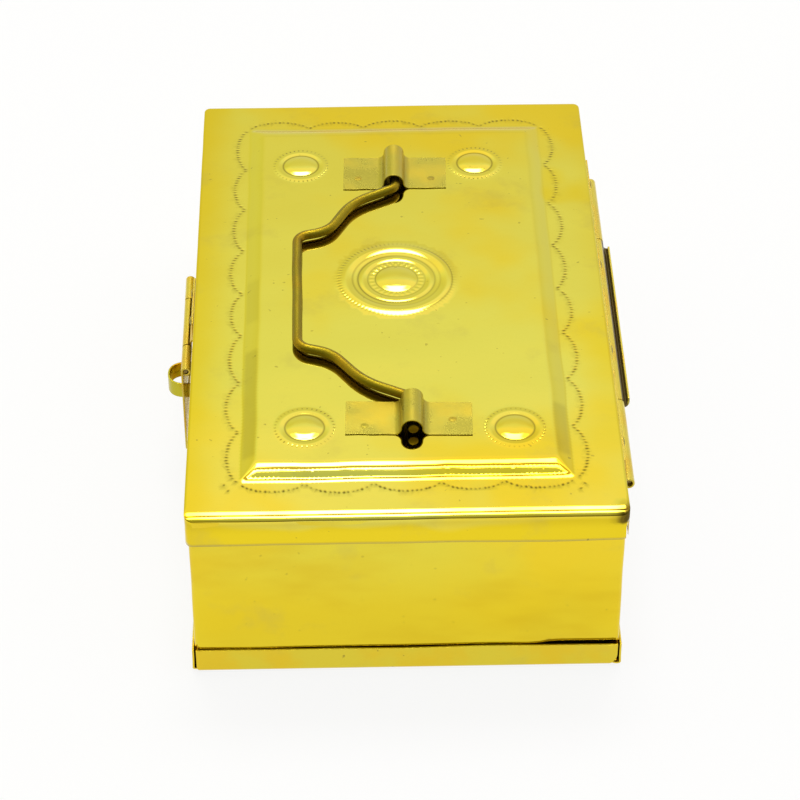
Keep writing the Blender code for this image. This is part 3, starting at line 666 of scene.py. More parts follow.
def wall_ring(z, drop):
    """One loop of the body at a height; drop is how far inside the outer face it lies."""
    r = 2.0 - drop
    xy, side, angle = round_rect(WALL_LO[0] + drop, WALL_HI[0] - drop, WALL_LO[1] + drop,
                                 WALL_HI[1] - drop, r, WALL_PITCH, 5)
    along = np.where(np.abs(side[:, 0]) > 0.7, xy[:, 1], xy[:, 0] + 300)
    middle = 1 - (2 * (z - WALL_LO[2]) / (WALL_HI[2] - WALL_LO[2]) - 1) ** 4
    bow = 0.11 * (1 + wall_wave(along, z)) + 0.05 * (1 + small_wave(along, z))
    bow = bow * (0.35 + 0.65 * middle)
    near = side[:, 1] < -0.9
    step = smooth((xy[:, 0] - GAP_X[0]) / (GAP_X[1] - GAP_X[0]))
    bow = bow + near * step * 0.55 * smooth((TRAY_HI[2] + 4.0 - z) / 3.5)
    if drop:
        lap = (side[:, 1] > 0.9) & (xy[:, 0] > LAP[0]) & (xy[:, 0] < LAP[1])
        bow = bow + lap * T
    return np.column_stack([xy - side * bow[:, None], np.full(len(xy), z)])


def body_sheet():
    """The folded band of the four walls, gently uneven."""
    rows = np.linspace(WALL_LO[2], WALL_HI[2], WALL_ROWS)
    loops = [wall_ring(z, 0.0) for z in rows] + [wall_ring(z, T) for z in rows[::-1]]
    m = len(loops[0])
    last = (len(loops) - 1) * m
    faces = loop_faces(len(loops), m)
    faces += [(last + k, last + (k + 1) % m, (k + 1) % m, k) for k in range(m)]
    return new_object("body_sheet", np.concatenate(loops), faces, BODY,
                      ("body_walls",))


BEND = 1.3  # radius of the tray's lower bend
LIP_STEPS = 44
SIDE_OVER, END_SHORT = 0.05, 1.1  # the side lips reach past the corners, the end lips stop short
# Each lip's direction, and how far its two ends are cut back at the floor.
LIP_CUTS = (((1, 0), (1.5, 3.0)), ((0, 1), (2, 2)), ((-1, 0), (1.5, 2.5)), ((0, -1), (2.6, 5.2)))


def corner_cut(z, reach):
    """How much a lip is cut back at its end near the floor, round like a thumb nail."""
    t = np.clip(1 - z / reach, 0.0, 1.0)
    return reach * (1 - math.sqrt(1 - t * t))


def tray_sheet():
    """Floor and four folded lips with open corners, from one sheet of even thickness."""
    full = (TRAY_HI[0] - T / 2, TRAY_HI[1] - T / 2)
    bend = [(-BEND + BEND * math.sin(a), T / 2 + BEND - BEND * math.cos(a))
            for a in np.radians(np.linspace(0, 90, 7))]
    rows = bend + [(0.0, z) for z in np.linspace(T / 2 + BEND, TRAY_HI[2], 9)[1:]]
    verts, faces, floor = [], [], []
    for out, cuts in LIP_CUTS:
        reach, half = (full[0], full[1] + SIDE_OVER) if out[0] else (full[1], full[0] - END_SHORT)
        along = (-out[1], out[0])
        first = len(verts)
        for j, (back, z) in enumerate(rows):
            low = max(z, 0.35)
            ends = [-half + corner_cut(low, cuts[0]), half - corner_cut(low, cuts[1])]
            t = (z - T / 2) / (TRAY_HI[2] - T / 2)
            for i in range(LIP_STEPS + 1):
                s = ends[0] + (ends[1] - ends[0]) * i / LIP_STEPS
                sway = 0.09 * (1 + lip_wave(s + 400 * out[0], 170 * out[1] + z)) * smooth(t * 2)
                d = reach + back - sway
                top = 0.22 * (1 + lip_wave(s + 90 * out[1], 500 * out[0])) * smooth(t * 3 - 2)
                verts.append((out[0] * d + along[0] * s, out[1] * d + along[1] * s, z - top))
        w = LIP_STEPS + 1
        floor += list(range(first, first + w))
        faces += [(first + j * w + i, first + j * w + i + 1, first + (j + 1) * w + i + 1,
                   first + (j + 1) * w + i) for j in range(len(rows) - 1) for i in range(LIP_STEPS)]
    obj = new_object("tray_sheet", verts, faces + [tuple(floor)], BODY,
                     ("base_tray",))
    face_outwards(obj)
    shell = obj.modifiers.new("sheet", "SOLIDIFY")
    shell.thickness, shell.offset = T * MM, 0.0
    shell.use_even_offset = True
    rounding(obj, EDGE["tray"])
    return obj


def rounding(obj, radius, angle=50.0, segments=2):
    """Slightly rounded edges."""
    bevel = obj.modifiers.new("soft_edges", "BEVEL")
    bevel.width = radius * MM
    bevel.segments = segments
    bevel.limit_method = "ANGLE"
    bevel.angle_limit = math.radians(angle)
    bevel.harden_normals = True


BODY = next(b for b in frame["bodies"] if "body_walls" in
            frame["record"]["behaviour"]["bodies"][b])
body = body_sheet()
tray = tray_sheet()


# ---- handle and straps

def box_centre(node):
    """The middle of a node's box in millimetres."""
    lo, hi = box_mm(node)
    return (lo + hi) / 2


def filleted(points, radii, n=12):
    """A polyline whose inner corners are replaced by arcs of the given radii."""
    out = [Vector(points[0])]
    for before, here, after, r in zip(points, points[1:], points[2:], radii):
        p, a, b = Vector(here), Vector(before), Vector(after)
        u, v = (a - p).normalized(), (b - p).normalized()
        half = u.angle(v) / 2.0
        centre = p + (u + v).normalized() * (r / math.sin(half))
        s, e = p + u * (r / math.tan(half)) - centre, p + v * (r / math.tan(half)) - centre
        turn = s.angle(e)
        out += [centre + (s * math.sin((1 - i / n) * turn) + e * math.sin(i / n * turn))
                / math.sin(turn) for i in range(n + 1)]
    return out + [Vector(points[-1])]


def even_path(points, step):
    """The same path with points a step apart."""
    points = np.array([tuple(p) for p in points])
    length = np.concatenate([[0], np.cumsum(np.linalg.norm(np.diff(points, axis=0), axis=1))])
    at = np.linspace(0, length[-1], int(length[-1] / step) + 1)
    return np.column_stack([np.interp(at, length, c) for c in points.T])


PIVOT = next(j for j in frame["record"]["behaviour"]["joints"] if j["name"] == "handle_pivot")
PIVOT_AT, PIVOT_AXIS = np.array(PIVOT["pos_m"]) / MM, np.array(PIVOT["axis"])
WIRE_R, WIRE_SIDES = 1.86, 28
WIRE_DROP = 0.3  # the wire rests low in its straps
# The bent wire in the pivot's axes: stubs, ogee arms, shoulders and grip, near end first.
WIRE = [(0, -85.0), (0, -66.9), (-16.5, -57.8), (-27.4, -41.4), (-39.7, -37.0), (-38.7, 29.7),
        (-26.8, 32.8), (-17.4, 50.6), (0, 60.2), (0, 81.0)]
WIRE_BENDS = (4.0, 30.0, 16.0, 6.5, 5.0, 12.0, 26.0, 4.0)


def handle_wire():
    """The handle as a smooth round wire with slightly uneven thickness and clipped ends."""
    flat = even_path(filleted(WIRE, WIRE_BENDS), 0.8)
    yaw = math.atan2(-PIVOT_AXIS[0], PIVOT_AXIS[1])
    spin = np.array(((math.cos(yaw), -math.sin(yaw)), (math.sin(yaw), math.cos(yaw))))
    path = flat @ spin.T + PIVOT_AT[:2]
    ahead = directions(path)
    thick, kink = waves(31, 17), waves(32, 26)
    last = len(path) - 1
    rings = [(0, 0.0, 0.0), (0, 0.80, 0.0), (0, 0.96, 0.12)] + [(k, 1.0, 0.0) for k in
                                                              range(1, last)]
    rings += [(last, 0.96, -0.12), (last, 0.80, 0.0), (last, 0.0, 0.0)]
    spoke = np.radians(np.arange(WIRE_SIDES) * 360 / WIRE_SIDES)
    verts = []
    for k, scale, shift in rings:
        side = np.array((ahead[k][1], -ahead[k][0]))
        r = WIRE_R * scale * (1 - 0.015 * (1 + float(thick(k * 0.8, 0.0))))
        centre = path[k] + ahead[k] * shift + side * 0.10 * float(kink(k * 0.8, 3.0))
        verts += [(*(centre + side * r * math.cos(a)),
                   PIVOT_AT[2] - WIRE_DROP + r * math.sin(a)) for a in spoke]
    wire = new_object("handle_wire", verts, loop_faces(len(rings), WIRE_SIDES), "handle",
                      ("handle",), 45.0)
    face_outwards(wire, merge=True)
    return wire


# How far each strap's corners sit further back than the CAD's, for its thinner sheet:
# near left, near right, far left, far right.
STRAP_BACK = {"handle_strap_near": (1.9, 1.6, 1.0, 0.5), "handle_strap_far": (0.1, 1.5, 1.2, 1.2)}


def strap_shift(name, x, y):
    """The backward shift at a place on a strap, between its corners' shifts."""
    lo, hi = box_mm(name)
    u, v = (x - lo[0]) / (hi[0] - lo[0]), (y - lo[1]) / (hi[1] - lo[1])
    a, b, c, d = STRAP_BACK[name]
    return (1 - v) * ((1 - u) * a + u * b) + v * ((1 - u) * c + u * d)


STRAP_T = 0.36  # thinner than the CAD's sheet
STRAP_ROWS = 16
TUNNEL = 3.75  # tunnel radius to the middle of the sheet
STRAP_FOOT = 2.6  # fillet between the arms and the tunnel
STRAP_LIFT, STRAP_SINK = 0.02, 0.30  # gap to the lid, and from the CAD strap's top
STRAP_TURN = {"handle_strap_near": -1.4, "handle_strap_far": -1.2}
STRAP_BARREL = {"handle_strap_near": 1.1, "handle_strap_far": -0.4}  # how far off its middle


def strap(name, seed):
    """An omega of thin sheet with wide fillets, lying on the lid and gently uneven."""
    lo, hi = box_mm(name)
    tilt = math.radians(STRAP_TURN[name])
    c, s = math.cos(tilt), math.sin(tilt)
    # the box of the turned strap gives its length, width and place
    dx, dy = hi[0] - lo[0], hi[1] - lo[1]
    t = abs(math.tan(tilt))
    width = (dy - dx * t) / (1 - t * t) / c
    length = (dx - dy * t) / (1 - t * t) / c
    middle = (lo[:2] + hi[:2]) / 2
    barrel = STRAP_BARREL[name]
    flat = FIELD + STRAP_LIFT + STRAP_T / 2
    centre_z = hi[2] - STRAP_T / 2 - STRAP_SINK - TUNNEL
    rise = min(centre_z - flat, STRAP_FOOT)
    foot = TUNNEL + STRAP_FOOT  # where the fillets leave the arms
    fillet = [(foot - STRAP_FOOT * math.sin(a), flat + rise * (1 - math.cos(a)))
              for a in np.radians(np.linspace(10, 90, 9))]
    path = [(x, flat) for x in np.linspace(-length / 2 - barrel, -foot, 12)]
    path += [(-x, z) for x, z in fillet]
    path += [(-TUNNEL * math.cos(a), centre_z + TUNNEL * math.sin(a))
             for a in np.radians(np.linspace(6, 174, 29))]
    path += fillet[::-1] + [(x, flat) for x in np.linspace(foot, length / 2 - barrel, 12)]
    path = np.array(path)
    uneven, edge = waves(seed, 15), waves(seed + 1, 9)
    verts = []
    stations = np.linspace(-width / 2, width / 2, STRAP_ROWS + 1)
    for sign in (0.5, -0.5):
        for (px, pz), n in zip(path, left_of(path)):
            for w in stations:
                w = w + 0.10 * float(edge(px, w)) * (abs(w) > width / 2 - 0.1)
                lift = 0.02 * (1 + float(uneven(px, w)))
                x, z = px + n[0] * STRAP_T * sign, pz + n[1] * STRAP_T * sign + lift
                lx = x + barrel
                verts.append((middle[0] + lx * c - w * s, middle[1] + lx * s + w * c, z))
    verts = np.array(verts)
    verts[:, 1] += strap_shift(name, verts[:, 0], verts[:, 1])
    verts[:, 2] += height(verts[:, 0], verts[:, 1]) - FIELD
    obj = new_object(name + "_sheet", verts, strip_faces(len(path), STRAP_ROWS + 1), "lid",
                     (name,))
    # The tunnel's inner faces take the second slot, a dark brown that paints the shade inside the
    # tunnel.
    tunnel = [i for i, p in enumerate(path) if abs(p[0]) < TUNNEL + 1.0]
    for i in tunnel[:-1]:  # every second face lies underneath
        for j in range(STRAP_ROWS):
            obj.data.polygons[2 * (i * STRAP_ROWS + j) + 1].material_index = 1
    face_outwards(obj)
    rounding(obj, EDGE["strap"])
    return obj


wire = handle_wire()
straps = [strap(name, 41 + 4 * k) for k, name in enumerate(STRAP_TURN)]

# A rivet head nearly flush with its strap, with a faint ring where it was struck.
HEAD = ((0.0, -0.5), (1.4, -0.5), (1.45, -0.02), (1.38, 0.04), (1.25, 0.055), (1.05, 0.03),
        (0.9, 0.05), (0.45, 0.085), (0.0, 0.09))
HEAD_SIDES, HEAD_LIFT = 32, 0.05


def strap_rivet(node):
    """The visible head of a strap's rivet."""
    centre = box_centre(node)
    under = "handle_strap_near" if "near" in node else "handle_strap_far"
    centre[1] += strap_shift(under, centre[0], centre[1])
    n, tip = HEAD_SIDES, 0.01  # the middle is a tiny ring, not a point
    top = float(height(centre[0], centre[1])) + HEAD_LIFT + STRAP_T
    verts = [(centre[0] + max(r, tip) * math.cos(a), centre[1] + max(r, tip) * math.sin(a),
              top + h) for r, h in HEAD for a in (2 * math.pi * k / n for k in range(n))]
    faces = loop_faces(len(HEAD), n)
    faces += [tuple(reversed(range(n))), tuple(range(len(verts) - n, len(verts)))]
    return new_object(node + "_head", verts, faces, "lid", (node,), 30.0)


heads = [strap_rivet(name) for name in frame["nodes"] if name.startswith("strap_rivet")]


# ---- staple

STAPLE_T = 0.75
STAPLE_LOOP = (-6.3, 7.3)  # the loop's outer faces
SQUARE = 0.86  # 1 would make the loop's nose round; less makes it squarer
INSIDE = 0.02  # the strip stays this far inside the CAD staple's box


def staple_loop():
    """A thin strip bent into a loop whose legs pass through the left wall."""
    lo, hi = box_mm("staple")
    y0, y1 = STAPLE_LOOP[0] + STAPLE_T / 2 + INSIDE, STAPLE_LOOP[1] - STAPLE_T / 2 - INSIDE
    r = (y1 - y0) / 2
    bulge = min(r, (hi[0] - lo[0]) * 0.62)
    x_bend = lo[0] + STAPLE_T / 2 + 0.05 + bulge
    path = [(x, y1) for x in np.linspace(hi[0] - INSIDE, x_bend, 10)[:-1]]
    path += [(x_bend - bulge * abs(math.sin(a)) ** SQUARE,
              (y0 + y1) / 2 + r * math.copysign(abs(math.cos(a)) ** SQUARE, math.cos(a)))
             for a in np.radians(np.linspace(0, 180, 41))]
    path += [(x, y0) for x in np.linspace(x_bend, hi[0] - INSIDE, 10)[1:]]
    path = np.array(path)
    stations = np.linspace(lo[2] + INSIDE, hi[2] - INSIDE, 9)
    verts = [(px + n[0] * STAPLE_T * sign, py + n[1] * STAPLE_T * sign, z)
             for sign in (0.5, -0.5) for (px, py), n in zip(path, left_of(path))
             for z in stations]
    loop = new_object("staple_loop", verts, strip_faces(len(path), len(stations)), BODY,
                      ("staple",))
    face_outwards(loop)
    rounding(loop, EDGE["staple"])
    return loop


staple = staple_loop()


# ---- fittings kept from the CAD

def weld(obj):
    """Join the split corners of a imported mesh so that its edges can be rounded."""
    join = obj.modifiers.new("join", "WELD")
    join.merge_threshold = MERGE


FITTINGS = ("hinge_lid_leaf", "hinge_body_leaf", "hasp_lid_leaf", "hasp_plate")
for name in FITTINGS:
    weld(frame["nodes"][name])
    rounding(frame["nodes"][name], EDGE["leaf"])
for name, node in frame["nodes"].items():
    if ("rivet" in name and "strap" not in name) or "pin" in name:
        weld(node)
        rounding(node, EDGE["rivet"], 25.0)


# ---- materials

class Nodes:
    """A small helper for building the node tree of a material or of the world."""

    def __init__(self, owner):
        owner.use_nodes = True
        self.tree = owner.node_tree
        self.coord = None

    def add(self, kind, **settings):
        """A new node with its settings."""
        node = self.tree.nodes.new(kind)
        for key, value in settings.items():
            setattr(node, key, value)
        return node

    def put(self, socket, value):
        """Link a socket, or set its constant."""
        if isinstance(value, bpy.types.NodeSocket):
            self.tree.links.new(value, socket)
        else:
            socket.default_value = value

    def math(self, operation, a, b=0.0):
        """The result of one sum."""
        node = self.add("ShaderNodeMath", operation=operation)
        self.put(node.inputs[0], a)
        self.put(node.inputs[1], b)
        return node.outputs[0]

    def part(self, vector, axis):
        """One component of a vector."""
        node = self.add("ShaderNodeSeparateXYZ")
        self.put(node.inputs[0], vector)
        return node.outputs[axis]

    def wavy(self, axis, noise, width):
        """A coordinate that wanders by a noise over the given width."""
        sway = self.math("SUBTRACT", self.math("MULTIPLY", noise, width), width / 2)
        return self.math("ADD", self.part(self.coord, axis), sway)

    def noise(self, scale, detail, rough, shift, stretch=(1, 1, 1), turn=(0, 0, 0)):
        """Noise over the object's coordinates."""
        mapping = self.add("ShaderNodeMapping")
        self.put(mapping.inputs["Vector"], self.coord)
        mapping.inputs["Scale"].default_value = stretch
        mapping.inputs["Rotation"].default_value = turn
        mapping.inputs["Location"].default_value = shift
        node = self.add("ShaderNodeTexNoise")
        self.put(node.inputs["Vector"], mapping.outputs[0])
        node.inputs["Scale"].default_value = scale
        node.inputs["Detail"].default_value = detail
        node.inputs["Roughness"].default_value = rough
        return node.outputs["Fac"]

    def between(self, value, lo, hi, to_lo=0.0, to_hi=1.0):
        """A smooth step from to_lo to to_hi as the value goes from lo to hi."""
        node = self.add("ShaderNodeMapRange", interpolation_type="SMOOTHSTEP")
        for key, v in zip(("Value", "From Min", "From Max", "To Min", "To Max"),
                          (value, lo, hi, to_lo, to_hi)):
            self.put(node.inputs[key], v)
        return node.outputs[0]

    def mix(self, factor, a, b, blend="MIX"):
        """Two colours mixed."""
        node = self.add("ShaderNodeMix", data_type="RGBA", blend_type=blend)
        self.put(node.inputs["Factor"], factor)
        for socket, value in (("A", a), ("B", b)):
            target = next(s for s in node.inputs if s.name == socket and s.type == "RGBA")
            self.put(target, value if isinstance(value, bpy.types.NodeSocket) else (*value, 1.0))
        return next(s for s in node.outputs if s.type == "RGBA")

    def bump(self, height, strength, distance, normal=None):
        """A normal bent by a height."""
        node = self.add("ShaderNodeBump")
        node.inputs["Strength"].default_value = strength
        node.inputs["Distance"].default_value = distance
        self.put(node.inputs["Height"], height)
        if normal is not None:
            self.put(node.inputs["Normal"], normal)
        return node.outputs[0]

    def ramp(self, value, stops, top, unit):
        """A colour ramp; its stops are (place, colour), with places up to top."""
        node = self.add("ShaderNodeValToRGB")
        self.put(node.inputs[0], value)
        marks = node.color_ramp.elements
        while len(marks) > 1:
            marks.remove(marks[-1])
        for k, (place, colour) in enumerate(stops):
            mark = marks[0] if k == 0 else marks.new(place / top)
            mark.position = place / top
            mark.color = (*[c / unit for c in colour], 1.0)
        return node.outputs[0]


# The second tone is the dark brown of painted shade: on the wire's underside and in the hinge's
# trough.
SMEAR_TONE, PAINTED_SHADE = (0.66, 0.43, 0.012), (0.05, 0.028, 0.004)


def brass(name, base, warm, dull, rough, patch=(12, 0.47, 0.66), tarnish=0.25, grain=0.1,
          spots=0.5, seed=0.0, low=None, sides=(), smear=0.0, shade=None, creases=None,
          satin=0.0, matte=0.0):
    """Brass sheet: warm patches, thin stains, small pits, fine wiping marks and uneven gloss.

    patch is the warm patches' scale and where they start and are full. low is (colour, height
    where it is full, height where it ends, amount) for a warmer foot, and sides are (colour,
    x where it starts, x where it is full, amount). shade gives the share of painted shade, a
    dark brown mixed in where shade would fall. creases is the colour of the points marked
    "tarnish": tarnish and wear, and also painted shade just below the lid's fold.
    """
    mat = bpy.data.materials.new(name)
    n = Nodes(mat)
    bsdf = n.tree.nodes["Principled BSDF"]
    n.coord = n.add("ShaderNodeTexCoord").outputs["Object"]
    shift = (seed, seed * 0.7, seed * 1.3)
    patches = n.between(n.noise(patch[0], 3.0, 0.55, shift), patch[1], patch[2])
    colour = n.mix(patches, base, warm)
    if low:
        tone, full, end, amount = low
        place = n.wavy("Z", n.noise(24, 2.0, 0.5, shift), 0.02)
        colour = n.mix(n.between(place, full * MM, end * MM, amount, 0.0), colour, tone)
    for tone, start, full, amount in sides:
        place = n.wavy("X", n.noise(22, 3.0, 0.55, shift), 0.016)
        colour = n.mix(n.between(place, start * MM, full * MM, 0.0, amount), colour, tone)
    if smear:
        streaks = n.noise(34, 3.0, 0.6, shift, stretch=(0.45, 1.0, 1.3), turn=(0, 0.5, 0))
        colour = n.mix(n.between(streaks, 0.42, 0.72, 0.0, smear), colour, SMEAR_TONE)
    stain = n.between(n.noise(45, 4.0, 0.6, shift), 0.55, 0.75, 0.0, tarnish)
    colour = n.mix(stain, colour, dull)
    # Painted shade: dark brown mixed in by the share that shade gives.
    if shade:
        colour = n.mix(shade(n), colour, PAINTED_SHADE)
    if creases:
        marks = n.add("ShaderNodeAttribute", attribute_name="tarnish").outputs["Fac"]
        colour = n.mix(marks, colour, creases)
    pits = n.between(n.noise(420, 1.5, 0.4, shift), 0.75, 0.80, 0.0, spots)
    colour = n.mix(pits, colour, tuple(c * 0.35 for c in dull))
    n.put(bsdf.inputs["Base Color"], colour)
    bsdf.inputs["Metallic"].default_value = 1.0 - matte
    gloss = n.noise(60, 4.0, 0.6, shift)
    wipe = n.noise(900, 2.0, 0.6, shift, stretch=(1.0, 0.06, 1.0), turn=(0, 0, 0.35))
    value = n.math("ADD", n.between(gloss, 0.3, 0.75, rough * 0.8, rough * 1.35),
                   n.math("MULTIPLY", pits, 0.25))
    value = n.math("ADD", value, n.between(wipe, 0.4, 0.7, -0.008, 0.014))
    if creases:
        value = n.math("ADD", value, n.between(marks, 1.0, 1.6, 0.0, 0.6))
    n.put(bsdf.inputs["Roughness"], value)
    relief = n.bump(n.noise(260, 3.0, 0.55, shift), grain, 0.0004)
    relief = n.bump(wipe, grain * 0.5, 0.00006, relief)
    if satin:
        relief = n.bump(n.noise(1500, 2.0, 0.7, shift), satin, 0.0001, relief)
    relief = n.bump(pits, 0.15, -0.00008, relief)
    n.put(bsdf.inputs["Normal"], relief)
    return mat


def downward_painted_shade(n):
    """Painted shade on the faces that look down."""
    up = n.part(n.add("ShaderNodeNewGeometry").outputs["Normal"], "Z")
    return n.between(up, -0.55, 0.25, 0.85, 0.0)


def trough_painted_shade(n):
    """Painted shade inside the folded-out lip of the hinge's middle knuckle."""
    x, (start, end), soft = n.part(n.coord, "X"), TROUGH, 0.2
    inner = n.between(x, (start - soft) * MM, (start + soft) * MM)
    outer = n.between(x, (end - soft) * MM, (end + soft) * MM, 1.0, 0.0)
    return n.math("MULTIPLY", n.math("MULTIPLY", inner, outer), 0.95)


# Where the painted shade inside the hinge's trough lies, across X.
TROUGH = (box_mm("hinge_body_leaf")[1][0] - 3.1, box_mm("hinge_body_leaf")[1][0] - 0.8)
LEMON, WARM, DULL = (0.78, 0.675, 0.088), (0.84, 0.62, 0.03), (0.52, 0.42, 0.09)
OLD_GOLD = (0.80, 0.59, 0.018)
SIDE_GOLD = (LEMON[0], LEMON[1] * 0.86, LEMON[2] * 0.2)
STRIP = ((0.44, 0.375, 0.04), (0.48, 0.36, 0.025), (0.41, 0.34, 0.045))
LEAF = ((0.66, 0.53, 0.06), (0.66, 0.43, 0.03), (0.50, 0.38, 0.05))
looks = {
    "sheet": brass("brass_lid", LEMON, WARM, DULL, 0.032, grain=0.02, spots=0.4,
                   low=((0.82, 0.62, 0.018), RIM - 6, RIM - 3, 0.95), creases=(0.16, 0.11, 0.01),
                   sides=((SIDE_GOLD, -60.0, -76.0, 0.85), (SIDE_GOLD, 62.0, 76.0, 0.3))),
    "body": brass("brass_body", (0.76, 0.645, 0.055), WARM, DULL, 0.10, grain=0.06, spots=0.22,
                  seed=3.1, low=(OLD_GOLD, 26, 62, 0.75), smear=0.4),
    "tray": brass("brass_tray", (0.72, 0.58, 0.045), (0.76, 0.54, 0.03), DULL, 0.18,
                  (40, 0.42, 0.66), seed=5.7, satin=0.25),
    "strip": brass("brass_strip", *STRIP, 0.30, (60, 0.4, 0.7), 0.22, 0.03, 0.12, 8.2,
                   satin=0.2, matte=0.2),
    "leaf": brass("brass_leaf", *LEAF, 0.24, (60, 0.4, 0.7), 0.3, 0.02, 0.15, 5.6,
                  satin=0.1, matte=0.35),
    # A dark brown painted shade for the inner faces of the strap tunnels.
    "inside": brass("brass_tunnel_shade", (0.05, 0.034, 0.006), (0.08, 0.04, 0.006),
                    (0.03, 0.02, 0.006), 0.45, (80, 0.4, 0.7), 0.5, 0.2, 0.3, 4.4, matte=0.3),
    # The body leaf gets painted shade inside its trough.
    "hinge": brass("brass_hinge", *LEAF, 0.24, (60, 0.4, 0.7), 0.3, 0.02, 0.15, 2.4,
                   satin=0.1, shade=trough_painted_shade, matte=0.35),
    "staple": brass("brass_staple", (0.50, 0.44, 0.03), (0.52, 0.30, 0.008), (0.40, 0.30, 0.03),
                    0.20, (95, 0.42, 0.6), 0.3, 0.04, 0.15, 7.7),
    # The wire gets painted shade on its underside.
    "wire": brass("brass_wire", (0.25, 0.192, 0.010), (0.28, 0.18, 0.008), (0.15, 0.108, 0.010),
                  0.40, (80, 0.4, 0.7), 0.5, 0.10, 0.3, 1.9, satin=0.2, shade=downward_painted_shade),
    "pin": brass("brass_pin", (0.30, 0.22, 0.07), (0.34, 0.22, 0.05), (0.16, 0.12, 0.05),
                 0.36, (90, 0.4, 0.7), 0.6, 0.3, 0.5, 4.4),
    "rivet": brass("brass_rivet", (0.34, 0.28, 0.02), (0.36, 0.25, 0.015), (0.20, 0.15, 0.02),
                   0.34, (90, 0.4, 0.7), 0.4, 0.1, 0.3, 6.6, satin=0.1, matte=0.2),
}


# The look of each CAD node; the rest are strips or rivets.
NODE_LOOKS = {"base_tray": "tray", "body_walls": "body", "lid": "sheet", "handle": "wire",
              "hinge_pin": "pin", "hasp_pin": "pin", "hinge_body_leaf": "hinge",
              "hinge_lid_leaf": "leaf", "staple": "staple", "hasp_lid_leaf": "leaf",
              "hasp_plate": "leaf"}
for node_name, node in frame["nodes"].items():
    kind = "rivet" if "rivet" in node_name else NODE_LOOKS.get(node_name, "strip")
    node.data.materials.clear()
    node.data.materials.append(looks[kind])
for piece, kind in [(lid, "sheet"), (body, "body"), (tray, "tray"), (wire, "wire"),
                    (staple, "staple")] \
        + [(piece, "strip") for piece in straps] + [(piece, "rivet") for piece in heads]:
    piece.data.materials.append(looks[kind])
# The straps' second slot: the painted shade inside their tunnels.
for piece in straps:
    piece.data.materials.append(looks["inside"])


# ---- floor, light, camera

def emission_material(name, colour, strength):
    """A plain glow."""
    mat = bpy.data.materials.new(name)
    n = Nodes(mat)
    n.tree.nodes.clear()
    emit = n.add("ShaderNodeEmission")
    emit.inputs["Color"].default_value = (*colour, 1.0)
    emit.inputs["Strength"].default_value = strength
    n.put(n.add("ShaderNodeOutputMaterial").inputs["Surface"], emit.outputs[0])
    return mat


def hide_from(obj, *rays):
    """Make an object invisible to some kinds of ray."""
    for ray in rays:
        setattr(obj, "visible_" + ray, False)


def plane(name, lo, hi, z, mat):
    """A flat rectangle of the stage, in metres."""
    mesh = bpy.data.meshes.new(name)
    mesh.from_pydata([(lo[0], lo[1], z), (hi[0], lo[1], z), (hi[0], hi[1], z), (lo[0], hi[1], z)],
                     [], [(0, 1, 2, 3)])
    obj = linked(name, mesh)
    mesh.materials.append(mat)
    return obj


STAGE = 8.0  # half the floor's side
FLOOR_Z, CARD_Z, CARD_GAP = -0.0002, 0.0004, 0.210  # the card lies this far in front of the box
FLOOR_GLOW, FLOOR_ALBEDO = 0.87, 0.09
floor_mat = bpy.data.materials.new("pale_floor")
floor_mat.use_nodes = True
floor_bsdf = floor_mat.node_tree.nodes["Principled BSDF"]
floor_bsdf.inputs["Base Color"].default_value = (FLOOR_ALBEDO,) * 3 + (1.0,)
floor_bsdf.inputs["Roughness"].default_value = 1.0
floor_bsdf.inputs["Specular IOR Level"].default_value = 0.0
floor_bsdf.inputs["Emission Color"].default_value = (1.0, 1.0, 1.0, 1.0)
floor_bsdf.inputs["Emission Strength"].default_value = FLOOR_GLOW
plane("floor", (-STAGE, -STAGE), (STAGE, STAGE), FLOOR_Z, floor_mat)

# A dim card in front darkens what the lower walls mirror; only reflections show it.
dark_card = plane("dark_card", (-STAGE, -STAGE), (STAGE, -HALF[1] * MM - CARD_GAP), CARD_Z,
                  emission_material("dark_card", (1.0, 0.8, 0.6), 0.10))
hide_from(dark_card, "camera", "diffuse", "shadow")

# A white dome that only the camera sees stands behind everything.
dome_mesh = bpy.data.meshes.new("backdrop")
bm = bmesh.new()
bmesh.ops.create_uvsphere(bm, u_segments=32, v_segments=16, radius=STAGE + 1.0)
bm.to_mesh(dome_mesh)
bm.free()
dome = linked("backdrop", dome_mesh)
dome_mesh.materials.append(emission_material("backdrop", (1.0, 1.0, 1.0), 1.0))
hide_from(dome, "glossy", "diffuse", "shadow", "transmission")

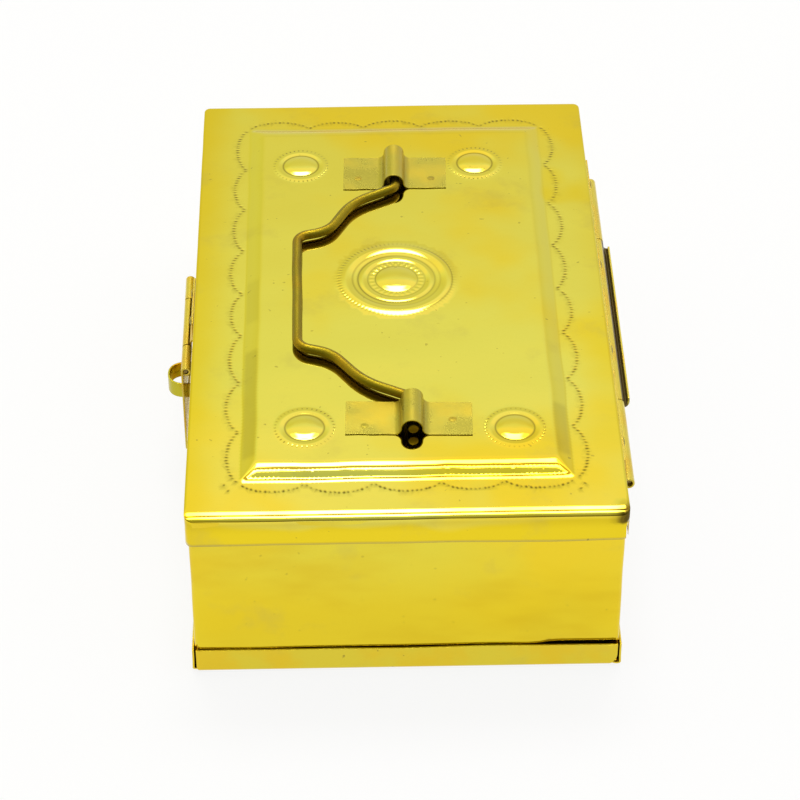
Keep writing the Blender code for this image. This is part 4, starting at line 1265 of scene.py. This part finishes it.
# The light tent by its angle over the box: 0 at the far horizon, 90 overhead, 180 in front.
# WALLS goes right across; STRIPS are two bright panels overhead that end at the sides.
WALLS = ((0, (0.78, 0.80, 0.76)), (20, (0.84, 0.86, 0.80)), (31, (0.83, 0.84, 0.72)),
         (35, (0.89, 0.89, 0.80)), (39, (0.97, 1.03, 1.17)), (43, (1.17, 1.11, 1.2)),
         (53, (1.15, 1.1, 1.15)), (57, (1.1, 1.0, 0.9)), (72, (1.0, 0.85, 0.7)),
         (75, (0.80, 0.62, 0.50)), (82, (0.74, 0.58, 0.46)), (88, (0.9, 0.85, 0.75)),
         (96, (0.75, 0.82, 0.9)), (101, (0.64, 0.74, 0.95)), (120, (0.52, 0.58, 0.75)),
         (134, (0.42, 0.46, 0.48)), (150, (0.40, 0.40, 0.36)), (167, (0.42, 0.41, 0.35)),
         (173, (0.12, 0.12, 0.12)), (180, (0.10, 0.10, 0.10)))
DARK, PANEL = (0, 0, 0), (12, 12, 12)
STRIPS = ((0, DARK), (54, DARK), (57, PANEL), (70, PANEL), (72, DARK), (84, DARK), (86, PANEL),
          (92, PANEL), (96, DARK), (180, DARK))
LIGHT_UNIT = 16.0  # a ramp's colours stop at 1, so they are kept small
LEFT_TINT = (1.0, 1.0, 0.62)  # the left of the tent is warmer
world = bpy.data.worlds.new("light_tent")
bpy.context.scene.world = world
tent = Nodes(world)
background = tent.tree.nodes["Background"]
sky = tent.add("ShaderNodeTexCoord").outputs["Generated"]
across = tent.part(sky, "X")
share = tent.math("DIVIDE", tent.math("ARCTAN2", tent.part(sky, "Z"), tent.part(sky, "Y")),
                  math.pi)
reach = tent.between(tent.math("ABSOLUTE", across), 0.12, 0.25, 1.0, 0.06)
left_side = tent.between(across, -0.5, 0.3, 1.0, 0.0)
walls = tent.mix(left_side, tent.ramp(share, WALLS, 180, LIGHT_UNIT), LEFT_TINT, "MULTIPLY")
panels = tent.mix(1.0, tent.ramp(share, STRIPS, 180, LIGHT_UNIT), reach, "MULTIPLY")
tent.put(background.inputs["Color"], tent.mix(1.0, walls, panels, "ADD"))
background.inputs["Strength"].default_value = LIGHT_UNIT

CAMERA_LENS, CAMERA_AT = 127.74, (-0.0194, -0.8392, 0.7170)
CAMERA_RIGHT, CAMERA_UP = (0.9997, -0.0236, 0.0), (0.015, 0.6385, 0.7694)
camera_data = bpy.data.cameras.new("camera")
camera_data.sensor_width = 36.0
camera_data.lens = CAMERA_LENS
camera_data.clip_start, camera_data.clip_end = 0.05, 30.0
camera = linked("camera", camera_data)
right, up = Vector(CAMERA_RIGHT), Vector(CAMERA_UP)
back = right.cross(up).normalized()
up = back.cross(right).normalized()
turn = Matrix((right, up, back)).transposed()
camera.matrix_world = Matrix.Translation(CAMERA_AT) @ turn.to_4x4()
bpy.context.scene.camera = camera
bpy.context.scene.view_settings.view_transform = "Standard"
